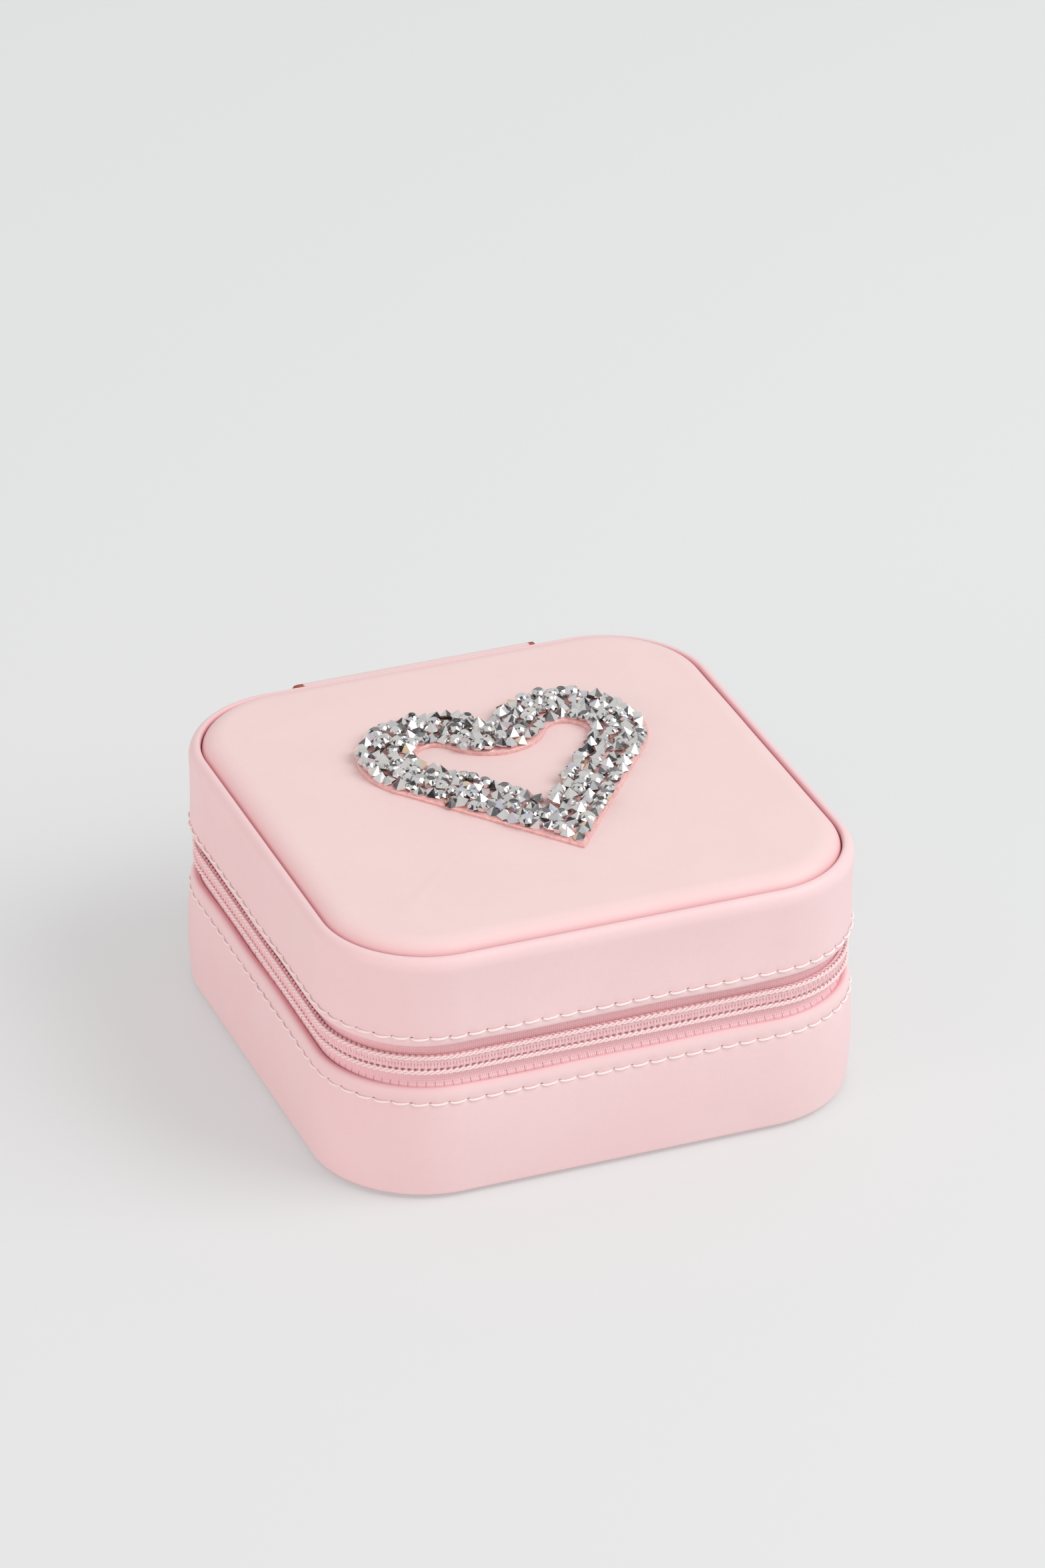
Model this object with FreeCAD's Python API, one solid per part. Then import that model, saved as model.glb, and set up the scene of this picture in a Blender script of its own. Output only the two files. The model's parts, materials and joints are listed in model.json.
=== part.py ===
import FreeCAD, Part
import math
import os
import random

# Square zip-round jewellery case: padded leather lid and base on board walls, joined by a leather
# strap hinge at the back, closed by a coil zip on the other three sides, with a mirror in the lid
# and ring rolls and compartments in the base.
# Millimetres. Origin at the centre of the underside. +Z up, front towards -Y, hinge at +Y.
# A wall's layers are given as depths, measured inwards from the outside of the leather.

# Driving dimensions of the outside
SIDE = 100.0
HEIGHT = 48.0
CORNER_R = 20.5
ZIP_Z = 26.9
LID_EDGE_ABOVE_ZIP = 3.9
BASE_EDGE_BELOW_ZIP = 4.5

# Stock thicknesses
LEATHER_T = 1.0
BOTTOM_LEATHER_T = 0.8
BOARD_T = 1.5
LINING_T = 0.8
TAPE_T = 0.5
STRAP_T = 1.2
FILM_T = 0.7
MIRROR_T = 1.4

# Leather edges: a hem folded double beside the zip, and a folded rim round the lid's top
HEM_T = 2 * LEATHER_T
HEM_DEEP = 6.0
RIM_W = 2.2
RIM_DEEP = 4.2
TURN_UNDER = 9.0
FOOT_R = 1.2
BOTTOM_INSET = 1.6

# Zip chain, in depth and in height from its centre line
TAPE_W = 11.5
CHAIN_GAP = 0.9
COIL_W = 1.95
COIL_T = 1.2
COIL_BEVEL = 0.36
SEW_W = 0.7
SEW_T = 0.25
SLIDER_ROOM = 1.2
TAPE_END_X = 20.0
CHAIN_END_X = 28.0
STOP_LONG = 1.6
STOP_SHY = 0.2
STOP_GAP = 0.7
CHAIN_SHY = 1.0

# Slider and pull, on the right side wall
SLIDER_Y = 22.0
SLIDER_LONG = 9.0
SLIDER_HALF_W = 3.4
PLATE_T = 0.9
BACK_PLATE_T = 0.8
PLATE_GAP = 0.25
PLATE_TAPER = 0.3
PLATE_NOTCH = 0.9
TAIL_BEVEL = 1.2
SHOULDER_BEVEL = 2.0
RAIL_IN = 2.6
WEDGE_T = 0.5
WEDGE_LONG = 1.8
CROWN_W = 1.8
CROWN_T = 0.8
CROWN_LONG = 7.4
CROWN_WINDOW = 1.5
PULL_BAR_R = 0.5
PULL_W = 5.0
PULL_T = 1.0
PULL_LONG = 21.0
PULL_EYE_W = 2.6
PULL_EYE_LONG = 6.0
PULL_NECK = 2.0
PULL_FLARE = 0.5

# Lid's padded top
PANEL_GAP = 0.1
PANEL_EDGE_DROP = 1.05
PANEL_RISE = 1.9
PANEL_ROLL = 3.0
PANEL_DEEP = 5.5
PAD_SHY = 0.05

# Hinge strap on the back, with a woven cloth behind it
STRAP_W = 47.5
STRAP_LOW_Z = 2.6
STRAP_HIGH_Z = 47.5
STRAP_CORNER_R = 2.0
CLOTH_W = 39.0
CLOTH_HIGH = 21.0

# Fitting out of the inside
RIM_GAP = 0.3
ROLL_COUNT = 6
ROLL_PITCH = 14.4
ROLL_GAP = 0.2
ROLL_HIGH = 17.0
ROLL_LONG = 39.2
ROLL_FOOT_SHARE = 0.88
ROLL_BULGE = 0.25
DIVIDER_T = 2.4
DIVIDER_HIGH = 16.0
DIVIDER_ROUND = 0.95
DIVIDER_X = -2.6
CROSS_Y = 14.6
FIT_GAP = 0.2
BEZEL_T = 2.6
BEZEL_W = 11.0
BEZEL_LIP = 1.0
MIRROR_R = 6.0

# Stone-set emblem on the lid: an open heart, twice a lobe and a straight side
HEART_X = 2.0
HEART_Y = 3.0
LOBE_R = 14.6
LOBE_X = 12.4
LOBE_Y = 9.4
TIP_Y = -29.0
STONE_ROWS = 4
STONE_PITCH = 2.6
STONE_R = 1.25
STONE_MARGIN = 0.2
STONE_LOW = 1.6
STONE_HIGH = 2.4
POINTED_SHARE = 0.5
GIRDLE_SHARE = 0.56
TABLE_TOP_SHARE = 0.8
TABLE_SHARE = 0.55
STONE_SIDES = 8
STONE_SEED = 11

# Levels and depths that follow from those above
BASE_EDGE_Z = ZIP_Z - BASE_EDGE_BELOW_ZIP
LID_EDGE_Z = ZIP_Z + LID_EDGE_ABOVE_ZIP
TAPE_D = HEM_T
COIL_D = TAPE_D - COIL_T
BOARD_D = TAPE_D + TAPE_T + SLIDER_ROOM
LINING_D = BOARD_D + BOARD_T
CAVITY_D = LINING_D + LINING_T
TURN_TOP_Z = BOTTOM_LEATHER_T + LEATHER_T
FLOOR_BOARD_TOP_Z = TURN_TOP_Z + BOARD_T
CAVITY_FLOOR_Z = FLOOR_BOARD_TOP_Z + LINING_T
BASE_RIM_Z = ZIP_Z - RIM_GAP / 2
LID_RIM_Z = ZIP_Z + RIM_GAP / 2
PANEL_D = RIM_W + PANEL_GAP
PANEL_EDGE_Z = HEIGHT - PANEL_EDGE_DROP
PANEL_TOP_Z = HEIGHT + PANEL_RISE
PAD_LOW_Z = HEIGHT - PANEL_DEEP
TOP_BOARD_LOW_Z = PAD_LOW_Z - BOARD_T
CEILING_Z = TOP_BOARD_LOW_Z - LINING_T
STRAIGHT = SIDE / 2 - CORNER_R
STROKE = 2 * (STONE_R + STONE_MARGIN) + (STONE_ROWS - 1) * STONE_PITCH
CAVITY_HALF = SIDE / 2 - CAVITY_D
RIGHT, BACK, LEFT, FRONT = range(4)
QUARTER = 90.0


def vec(x, y, z):
    return FreeCAD.Vector(x, y, z)


def rounded_square(depth, z):
    """Face of the case's plan, drawn in by a depth, at height z."""
    half = SIDE / 2 - depth
    radius = CORNER_R - depth
    return rounded_rectangle(-half, half, -half, half, radius, z)


def rounded_rectangle(x0, x1, y0, y1, radius, z):
    """Face of a rectangle with round corners at height z."""
    edges = []
    corners = ((x1, y1, 0), (x0, y1, 1), (x0, y0, 2), (x1, y0, 3))
    ends = []
    for x, y, turns in corners:
        start = turns * QUARTER
        cx = x - math.copysign(radius, math.cos(math.radians(start + 45)))
        cy = y - math.copysign(radius, math.sin(math.radians(start + 45)))
        points = []
        for share in (0, 0.5, 1):
            angle = math.radians(start + QUARTER * share)
            points.append(vec(cx + radius * math.cos(angle), cy + radius * math.sin(angle), z))
        edges.append(Part.Arc(*points).toShape())
        ends.append((points[0], points[2]))
    for turns in range(4):
        edges.append(Part.LineSegment(ends[turns][1], ends[(turns + 1) % 4][0]).toShape())
    return Part.Face(Part.Wire(Part.__sortEdges__(edges)))


def plate(depth, low, high):
    """Flat plate of the case's plan, drawn in by a depth."""
    return rounded_square(depth, low).extrude(vec(0, 0, high - low))


def section_face(steps, y):
    """Wall section at a place along the right side. A step is (depth, z), or two such for an arc."""
    place = lambda point: vec(SIDE / 2 - point[0], y, point[1])
    edges = []
    here = steps[0]
    for step in list(steps[1:]) + [steps[0]]:
        if isinstance(step[0], tuple):
            edges.append(Part.Arc(place(here), place(step[0]), place(step[1])).toShape())
            here = step[1]
        else:
            edges.append(Part.LineSegment(place(here), place(step)).toShape())
            here = step
    return Part.Face(Part.Wire(edges))


def turned(shape, side):
    """Copy of a right-hand piece, turned to another side of the case."""
    copy = shape.copy()
    copy.rotate(vec(0, 0, 0), vec(0, 0, 1), side * QUARTER)
    return copy


def side_run(steps, side, start=-STRAIGHT, end=STRAIGHT):
    """A section carried along one straight side, from start to end, anticlockwise."""
    return turned(section_face(steps, start).extrude(vec(0, end - start, 0)), side)


def corner_run(steps, side):
    """A section carried round the corner at the anticlockwise end of a side."""
    centre = vec(STRAIGHT, STRAIGHT, 0)
    return turned(section_face(steps, STRAIGHT).revolve(centre, vec(0, 0, 1), QUARTER), side)


def joined(pieces):
    return pieces[0].multiFuse(pieces[1:]).removeSplitter()


def ring(steps):
    """A section carried all the way round the case."""
    runs = [side_run(steps, side) for side in range(4)]
    return joined(runs + [corner_run(steps, side) for side in range(4)])


def zip_run(steps, right_start, back_end):
    """A section carried along the zip: right side, front, left side and round to the back."""
    pieces = [side_run(steps, RIGHT, -STRAIGHT, right_start)]
    pieces += [side_run(steps, FRONT), side_run(steps, LEFT)]
    pieces += [corner_run(steps, side) for side in (FRONT, LEFT, BACK)]
    pieces.append(side_run(steps, BACK, back_end, STRAIGHT))
    return joined(pieces)


def tape_run(steps):
    """A section carried the tape's whole length, both ends tucked under the hinge strap."""
    main = zip_run(steps, STRAIGHT, TAPE_END_X)
    tail = [corner_run(steps, RIGHT), side_run(steps, BACK, -STRAIGHT, -TAPE_END_X)]
    return joined([main] + tail)


def band_steps(depth0, depth1, low, high):
    """Section of a plain rectangular band."""
    return [(depth0, low), (depth1, low), (depth1, high), (depth0, high)]


# Base: skins, padding, boards and lining

def base_side_skin():
    """Outer leather of the base, hemmed beside the zip and turned under at the foot."""
    hem_r = HEM_T / 2
    low = BOTTOM_LEATHER_T
    slope = FOOT_R * (1 - math.sqrt(0.5))
    hem_mid_z = BASE_EDGE_Z - hem_r
    steps = [
        (TURN_UNDER, low),
        (FOOT_R, low),
        ((slope, low + slope), (0, low + FOOT_R)),
        (0, hem_mid_z),
        ((hem_r, BASE_EDGE_Z), (HEM_T, hem_mid_z)),
        (HEM_T, BASE_EDGE_Z - HEM_DEEP),
        (LEATHER_T, BASE_EDGE_Z - HEM_DEEP),
        (LEATHER_T, TURN_TOP_Z),
        (TURN_UNDER, TURN_TOP_Z),
    ]
    return ring(steps)


def base_wall_foam():
    """Thin padding between the base's leather and its wall board, stepped round the tape."""
    tape_low = ZIP_Z - TAPE_W - FIT_GAP
    steps = [
        (LEATHER_T, TURN_TOP_Z),
        (BOARD_D, TURN_TOP_Z),
        (BOARD_D, BASE_EDGE_Z - HEM_T / 2),
        (TAPE_D + TAPE_T, BASE_EDGE_Z - HEM_T / 2),
        (TAPE_D + TAPE_T, tape_low),
        (LEATHER_T, tape_low),
    ]
    return ring(steps)


def base_lining():
    """Velvet-covered tub, its flange laid over the top edge of the wall board."""
    steps = [
        (LINING_D, FLOOR_BOARD_TOP_Z),
        (CAVITY_D, FLOOR_BOARD_TOP_Z),
        (CAVITY_D, BASE_RIM_Z),
        (BOARD_D, BASE_RIM_Z),
        (BOARD_D, BASE_RIM_Z - LINING_T),
        (LINING_D, BASE_RIM_Z - LINING_T),
    ]
    floor = plate(CAVITY_D, FLOOR_BOARD_TOP_Z, CAVITY_FLOOR_Z)
    return joined([ring(steps), floor])


def base_nodes():
    wall_top = BASE_RIM_Z - LINING_T
    return {
        "base_bottom_skin": plate(BOTTOM_INSET, 0, BOTTOM_LEATHER_T),
        "base_side_skin": base_side_skin(),
        "base_wall_foam": base_wall_foam(),
        "base_floor_board": plate(BOARD_D, TURN_TOP_Z, FLOOR_BOARD_TOP_Z),
        "base_wall_board": ring(band_steps(BOARD_D, LINING_D, FLOOR_BOARD_TOP_Z, wall_top)),
        "base_lining": base_lining(),
    }


# Inside of the base: ring rolls and dividers

def roll_section(x, y):
    """End of a ring roll: flat foot, drawn-in sides and a round crown."""
    half = (ROLL_PITCH - ROLL_GAP) / 2
    foot = half * ROLL_FOOT_SHARE
    waist_z = CAVITY_FLOOR_Z + ROLL_HIGH - half
    top_z = CAVITY_FLOOR_Z + ROLL_HIGH
    side_z = (CAVITY_FLOOR_Z + waist_z) / 2
    side_y = (half + foot) / 2 + ROLL_BULGE
    at = lambda dy, z: vec(x, y + dy, z)
    edges = [
        Part.LineSegment(at(-foot, CAVITY_FLOOR_Z), at(foot, CAVITY_FLOOR_Z)).toShape(),
        Part.Arc(at(foot, CAVITY_FLOOR_Z), at(side_y, side_z), at(half, waist_z)).toShape(),
    ]
    for sign in (1, -1):
        slant = half * math.sqrt(0.5)
        ends = [at(sign * half, waist_z), at(0, top_z)]
        middle = at(sign * slant, waist_z + slant)
        edges.append(Part.Arc(ends[0], middle, ends[1]).toShape())
    foot_end = at(-foot, CAVITY_FLOOR_Z)
    edges.append(Part.Arc(at(-half, waist_z), at(-side_y, side_z), foot_end).toShape())
    return Part.Face(Part.Wire(Part.__sortEdges__(edges)))


def ring_rolls():
    """A row of foam rolls down the left half; the end ones are cut to the round corners."""
    room = plate(CAVITY_D + FIT_GAP, CAVITY_FLOOR_Z, BASE_RIM_Z)
    x0 = DIVIDER_X - DIVIDER_T / 2 - FIT_GAP - ROLL_LONG
    rolls = {}
    for n in range(ROLL_COUNT):
        y = (n - (ROLL_COUNT - 1) / 2) * ROLL_PITCH
        roll = roll_section(x0, y).extrude(vec(ROLL_LONG, 0, 0))
        rolls["ring_roll_%d" % (n + 1)] = roll.common(room).Solids[0]
    return rolls


def divider(x0, x1, y0, y1):
    """Upright panel on the floor of the base, its top edges rounded."""
    block = Part.makeBox(x1 - x0, y1 - y0, DIVIDER_HIGH, vec(x0, y0, CAVITY_FLOOR_Z))
    top = CAVITY_FLOOR_Z + DIVIDER_HIGH
    along_x = x1 - x0 > y1 - y0
    long_edges = []
    for edge in block.Edges:
        box = edge.BoundBox
        runs_along = box.XLength > box.YLength if along_x else box.YLength > box.XLength
        if runs_along and box.ZMin > top - FIT_GAP:
            long_edges.append(edge)
    return block.makeFillet(DIVIDER_ROUND, long_edges)


def dividers():
    wall = CAVITY_HALF - FIT_GAP
    half = DIVIDER_T / 2
    right = DIVIDER_X + half + FIT_GAP
    return {
        "divider_long": divider(DIVIDER_X - half, DIVIDER_X + half, -wall, wall),
        "divider_front": divider(right, wall, -CROSS_Y - half, -CROSS_Y + half),
        "divider_rear": divider(right, wall, CROSS_Y - half, CROSS_Y + half),
    }


# Lid: skins, padding, boards, lining and mirror

def lid_side_skin():
    """Outer leather of the lid's wall, hemmed beside the zip and folded into a rim at the top."""
    hem_r = HEM_T / 2
    rim_r = RIM_W / 2
    hem_mid_z = LID_EDGE_Z + hem_r
    rim_mid_z = HEIGHT - rim_r
    steps = [
        (0, hem_mid_z),
        ((hem_r, LID_EDGE_Z), (HEM_T, hem_mid_z)),
        (HEM_T, LID_EDGE_Z + HEM_DEEP),
        (LEATHER_T, LID_EDGE_Z + HEM_DEEP),
        (LEATHER_T, HEIGHT - RIM_DEEP),
        (RIM_W, HEIGHT - RIM_DEEP),
        (RIM_W, rim_mid_z),
        ((rim_r, HEIGHT), (0, rim_mid_z)),
    ]
    return ring(steps)


def roll_over(depth, edge_z, top_z):
    """Middle and end of the arc by which the padded top rolls down to its edge."""
    rise = top_z - edge_z
    run = PANEL_D + PANEL_ROLL - depth
    radius = (run * run + rise * rise) / (2 * rise)
    half_turn = math.asin(run / radius) / 2
    end_d = depth + run
    middle = (end_d - radius * math.sin(half_turn), top_z - radius * (1 - math.cos(half_turn)))
    return middle, (end_d, top_z)


def lid_top_panel():
    """Leather cap of the padded top, with a skirt tucked down inside the rim."""
    inner_d = PANEL_D + LEATHER_T
    inner_z = PANEL_TOP_Z - LEATHER_T
    flat_d = PANEL_D + PANEL_ROLL
    inner_middle, inner_end = roll_over(inner_d, PANEL_EDGE_Z, inner_z)
    steps = [
        (PANEL_D, PAD_LOW_Z),
        (PANEL_D, PANEL_EDGE_Z),
        roll_over(PANEL_D, PANEL_EDGE_Z, PANEL_TOP_Z),
        inner_end,
        (inner_middle, (inner_d, PANEL_EDGE_Z)),
        (inner_d, PAD_LOW_Z),
    ]
    return joined([ring(steps), plate(flat_d, inner_z, PANEL_TOP_Z)])


def lid_foam_pad():
    """Foam under the leather cap, of the same rolled shape, a hair smaller than the space for it."""
    depth = PANEL_D + LEATHER_T + PAD_SHY
    top_z = PANEL_TOP_Z - LEATHER_T - PAD_SHY
    flat_d = PANEL_D + PANEL_ROLL
    steps = [
        (depth, PAD_LOW_Z),
        (depth, PANEL_EDGE_Z),
        roll_over(depth, PANEL_EDGE_Z, top_z),
        (flat_d, PAD_LOW_Z),
    ]
    return joined([ring(steps), plate(flat_d, PAD_LOW_Z, top_z)])


def lid_wall_foam():
    """Thin padding between the lid's leather and its wall board, stepped round the tape."""
    tape_high = ZIP_Z + TAPE_W + FIT_GAP
    top = PAD_LOW_Z - FIT_GAP / 2
    steps = [
        (TAPE_D + TAPE_T, LID_EDGE_Z + HEM_T / 2),
        (BOARD_D, LID_EDGE_Z + HEM_T / 2),
        (BOARD_D, top),
        (LEATHER_T, top),
        (LEATHER_T, tape_high),
        (TAPE_D + TAPE_T, tape_high),
    ]
    return ring(steps)


def lid_lining():
    """Velvet-covered tub of the lid, its flange laid under the bottom edge of the wall board."""
    steps = [
        (BOARD_D, LID_RIM_Z),
        (CAVITY_D, LID_RIM_Z),
        (CAVITY_D, TOP_BOARD_LOW_Z),
        (LINING_D, TOP_BOARD_LOW_Z),
        (LINING_D, LID_RIM_Z + LINING_T),
        (BOARD_D, LID_RIM_Z + LINING_T),
    ]
    ceiling = plate(CAVITY_D, CEILING_Z, TOP_BOARD_LOW_Z)
    return joined([ring(steps), ceiling])


def square_plate(half, radius, low, high):
    face = rounded_rectangle(-half, half, -half, half, radius, low)
    return face.extrude(vec(0, 0, high - low))


def mirror_nodes():
    """Square mirror, held against the lid's ceiling by a velvet-covered bezel."""
    outer_half = CAVITY_HALF - FIT_GAP
    sight_half = outer_half - BEZEL_W
    seat_half = sight_half + BEZEL_LIP
    low = CEILING_Z - BEZEL_T
    seat_z = CEILING_Z - MIRROR_T
    bezel = square_plate(outer_half, CORNER_R - CAVITY_D - FIT_GAP, low, CEILING_Z)
    bezel = bezel.cut(square_plate(sight_half, MIRROR_R, low, CEILING_Z))
    bezel = bezel.cut(square_plate(seat_half + FIT_GAP, MIRROR_R, seat_z, CEILING_Z))
    mirror = square_plate(seat_half, MIRROR_R, seat_z, CEILING_Z)
    return {"mirror_bezel": bezel, "mirror": mirror}


def lid_nodes():
    nodes = {
        "lid_side_skin": lid_side_skin(),
        "lid_top_panel": lid_top_panel(),
        "lid_foam_pad": lid_foam_pad(),
        "lid_top_board": plate(BOARD_D, TOP_BOARD_LOW_Z, PAD_LOW_Z - FIT_GAP / 2),
        "lid_wall_foam": lid_wall_foam(),
        "lid_lining": lid_lining(),
    }
    wall = band_steps(BOARD_D, LINING_D, LID_RIM_Z + LINING_T, TOP_BOARD_LOW_Z)
    nodes["lid_wall_board"] = ring(wall)
    nodes.update(mirror_nodes())
    return nodes


# Zip: tapes, coils, sewing threads, stops

def coil_steps(near, far):
    """Section of one half of the chain, bevelled on its outer face, between two heights."""
    inward = math.copysign(COIL_BEVEL, far - near)
    return [(TAPE_D, near), (COIL_D + COIL_BEVEL, near), (COIL_D, near + inward),
            (COIL_D, far - inward), (COIL_D + COIL_BEVEL, far), (TAPE_D, far)]


def zip_half(up):
    """Tape, coil and sewing thread of one half of the zip: up is 1 on the lid, -1 on the base."""
    near = ZIP_Z + up * CHAIN_GAP / 2
    far = near + up * COIL_W
    mid = (near + far) / 2
    coil_start = SLIDER_Y - SLIDER_LONG / 2 - CHAIN_SHY
    tape = band_steps(TAPE_D, TAPE_D + TAPE_T, near, ZIP_Z + up * TAPE_W)
    sewing = band_steps(COIL_D - SEW_T, COIL_D, mid - SEW_W / 2, mid + SEW_W / 2)
    return (
        tape_run(tape),
        zip_run(coil_steps(near, far), coil_start, CHAIN_END_X),
        zip_run(sewing, coil_start, CHAIN_END_X),
    )


def end_stop(up):
    """Crimped stop on one tape, just past where the slider parks."""
    near = ZIP_Z + up * CHAIN_GAP / 2
    far = near + up * COIL_W
    start = SLIDER_Y + SLIDER_LONG / 2 + STOP_GAP
    steps = band_steps(COIL_D + STOP_SHY, TAPE_D, min(near, far), max(near, far))
    return side_run(steps, RIGHT, start, start + STOP_LONG)


def zip_nodes():
    nodes = {}
    for name, up in (("lid", 1), ("base", -1)):
        tape, coil, sewing = zip_half(up)
        nodes["zip_tape_" + name] = tape
        nodes["zip_coil_" + name] = coil
        nodes["zip_thread_" + name] = sewing
        nodes["zip_end_stop_" + name] = end_stop(up)
    stop_low = ZIP_Z - CHAIN_GAP / 2 - COIL_W
    steps = band_steps(COIL_D + STOP_SHY, TAPE_D, stop_low, ZIP_Z)
    stop_start = CHAIN_END_X - STOP_GAP - STOP_LONG
    nodes["zip_bottom_stop"] = side_run(steps, BACK, stop_start, stop_start + STOP_LONG)
    return nodes


# Slider: body, crown and pull

FRONT_PLATE_X = SIDE / 2 - COIL_D + SEW_T + FIT_GAP
PLATE_FACE_X = FRONT_PLATE_X + PLATE_T
BACK_PLATE_X = SIDE / 2 - TAPE_D - TAPE_T - PLATE_GAP
RAIL_X = SIDE / 2 - TAPE_D + PLATE_GAP
PULL_X = PLATE_FACE_X + CROWN_WINDOW / 2


def slider_plate(x0, x1):
    """Shield-shaped plate of the slider, between two distances out."""
    tail = SLIDER_Y - SLIDER_LONG / 2
    shoulder = SLIDER_Y + SLIDER_LONG / 2
    narrow = SLIDER_HALF_W - PLATE_TAPER
    half_outline = [
        (tail, narrow - TAIL_BEVEL),
        (tail + TAIL_BEVEL, narrow),
        (shoulder - SHOULDER_BEVEL, SLIDER_HALF_W),
        (shoulder, SLIDER_HALF_W - SHOULDER_BEVEL),
    ]
    mirrored = [(y, -z) for y, z in reversed(half_outline)]
    outline = half_outline + [(shoulder - PLATE_NOTCH, 0)] + mirrored
    points = [vec(x0, y, ZIP_Z + z) for y, z in outline]
    face = Part.Face(Part.makePolygon(points + points[:1]))
    return face.extrude(vec(x1 - x0, 0, 0))


def slider_body():
    """Front plate with guide rails, back plate behind the tapes, and the wedge between them."""
    front = slider_plate(FRONT_PLATE_X, PLATE_FACE_X)
    back = slider_plate(BACK_PLATE_X - BACK_PLATE_T, BACK_PLATE_X)
    tail = SLIDER_Y - SLIDER_LONG / 2
    rail_w = SLIDER_HALF_W - PLATE_TAPER - RAIL_IN
    rail_long = SLIDER_LONG - TAIL_BEVEL - SHOULDER_BEVEL
    pieces = [front, back]
    for low_z in (ZIP_Z + RAIL_IN, ZIP_Z - RAIL_IN - rail_w):
        corner = vec(RAIL_X, tail + TAIL_BEVEL, low_z)
        pieces.append(Part.makeBox(FRONT_PLATE_X - RAIL_X, rail_long, rail_w, corner))
    wedge_y = SLIDER_Y + SLIDER_LONG / 2 - PLATE_NOTCH - FIT_GAP - WEDGE_LONG
    corner = vec(BACK_PLATE_X, wedge_y, ZIP_Z - WEDGE_T / 2)
    pieces.append(Part.makeBox(FRONT_PLATE_X - BACK_PLATE_X, WEDGE_LONG, WEDGE_T, corner))
    return joined(pieces)


def slider_crown():
    """Arched bar on the front plate, under which the pull's cross bar turns."""
    high = CROWN_WINDOW + CROWN_T
    outer_half, inner_half = CROWN_LONG / 2, CROWN_LONG / 2 - CROWN_T
    z0 = ZIP_Z - CROWN_W / 2

    def arch(half, top):
        """Outline of an arch with round shoulders, standing on the front plate."""
        r = min(top * 0.6, half * 0.6)
        bend = r * (1 - math.sqrt(0.5))
        at = lambda y, x: vec(PLATE_FACE_X + x, SLIDER_Y + y, z0)
        edges = [
            Part.LineSegment(at(-half, 0), at(-half, top - r)).toShape(),
            Part.Arc(at(-half, top - r), at(-half + bend, top - bend), at(-half + r, top)).toShape(),
            Part.LineSegment(at(-half + r, top), at(half - r, top)).toShape(),
            Part.Arc(at(half - r, top), at(half - bend, top - bend), at(half, top - r)).toShape(),
            Part.LineSegment(at(half, top - r), at(half, 0)).toShape(),
            Part.LineSegment(at(half, 0), at(-half, 0)).toShape(),
        ]
        return Part.Face(Part.Wire(edges)).extrude(vec(0, 0, CROWN_W))

    return arch(outer_half, high).cut(arch(inner_half, CROWN_WINDOW))


def pull_tab():
    """Flat pull with a square eye, its cross bar under the crown, lying forward along the zip."""
    half = PULL_W / 2
    eye = PULL_EYE_W / 2
    tip_y = SLIDER_Y - PULL_LONG
    arm_end = SLIDER_Y + PULL_BAR_R
    x0 = PULL_X - PULL_T / 2
    waist = half - PULL_FLARE
    neck_y = SLIDER_Y - PULL_EYE_LONG - PULL_NECK
    at = lambda y, z: vec(x0, y, ZIP_Z + z)
    bow = half * math.sqrt(0.5)
    edges = [
        Part.LineSegment(at(arm_end, -waist), at(arm_end, waist)).toShape(),
        Part.LineSegment(at(arm_end, waist), at(neck_y, waist)).toShape(),
        Part.LineSegment(at(neck_y, waist), at(tip_y + half, half)).toShape(),
        Part.Arc(at(tip_y + half, half), at(tip_y + half - bow, bow), at(tip_y, 0)).toShape(),
        Part.Arc(at(tip_y, 0), at(tip_y + half - bow, -bow), at(tip_y + half, -half)).toShape(),
        Part.LineSegment(at(tip_y + half, -half), at(neck_y, -waist)).toShape(),
        Part.LineSegment(at(neck_y, -waist), at(arm_end, -waist)).toShape(),
    ]
    tab = Part.Face(Part.Wire(edges)).extrude(vec(PULL_T, 0, 0))
    eye_corner = vec(x0, SLIDER_Y - PULL_EYE_LONG, ZIP_Z - eye)
    eye_hole = Part.makeBox(PULL_T, PULL_EYE_LONG + PULL_BAR_R, PULL_EYE_W, eye_corner)
    bar = Part.makeCylinder(PULL_BAR_R, 2 * waist, vec(PULL_X, SLIDER_Y, ZIP_Z - waist), vec(0, 0, 1))
    return joined([tab.cut(eye_hole), bar])


def slider_nodes():
    return {"slider_body": slider_body(), "slider_crown": slider_crown(), "pull_tab": pull_tab()}


# Hinge: leather strap outside, woven cloth behind

def hinge_nodes():
    y0 = SIDE / 2
    half = STRAP_W / 2
    high = STRAP_HIGH_Z - STRAP_LOW_Z
    strap = Part.makeBox(STRAP_W, STRAP_T, high, vec(-half, y0, STRAP_LOW_Z))
    upright = [e for e in strap.Edges if e.BoundBox.YLength > STRAP_T / 2 and e.Length < 2 * STRAP_T]
    strap = strap.makeFillet(STRAP_CORNER_R, upright)
    cloth_y = SIDE / 2 - TAPE_D - TAPE_T
    corner = vec(-CLOTH_W / 2, cloth_y, ZIP_Z - CLOTH_HIGH / 2)
    cloth = Part.makeBox(CLOTH_W, TAPE_T, CLOTH_HIGH, corner)
    return {"hinge_strap": strap, "hinge_cloth": cloth}


# Emblem: clear film cut as an open heart, set with pointed and flat-topped stones

def heart_side():
    """Where the heart's straight side touches its lobe, on the right, and the side's direction."""
    reach = math.hypot(LOBE_X, TIP_Y - LOBE_Y)
    to_tip = math.atan2(TIP_Y - LOBE_Y, -LOBE_X)
    spread = math.acos(LOBE_R / reach)
    angle = to_tip + spread
    return LOBE_X + LOBE_R * math.cos(angle), LOBE_Y + LOBE_R * math.sin(angle), angle


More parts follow.
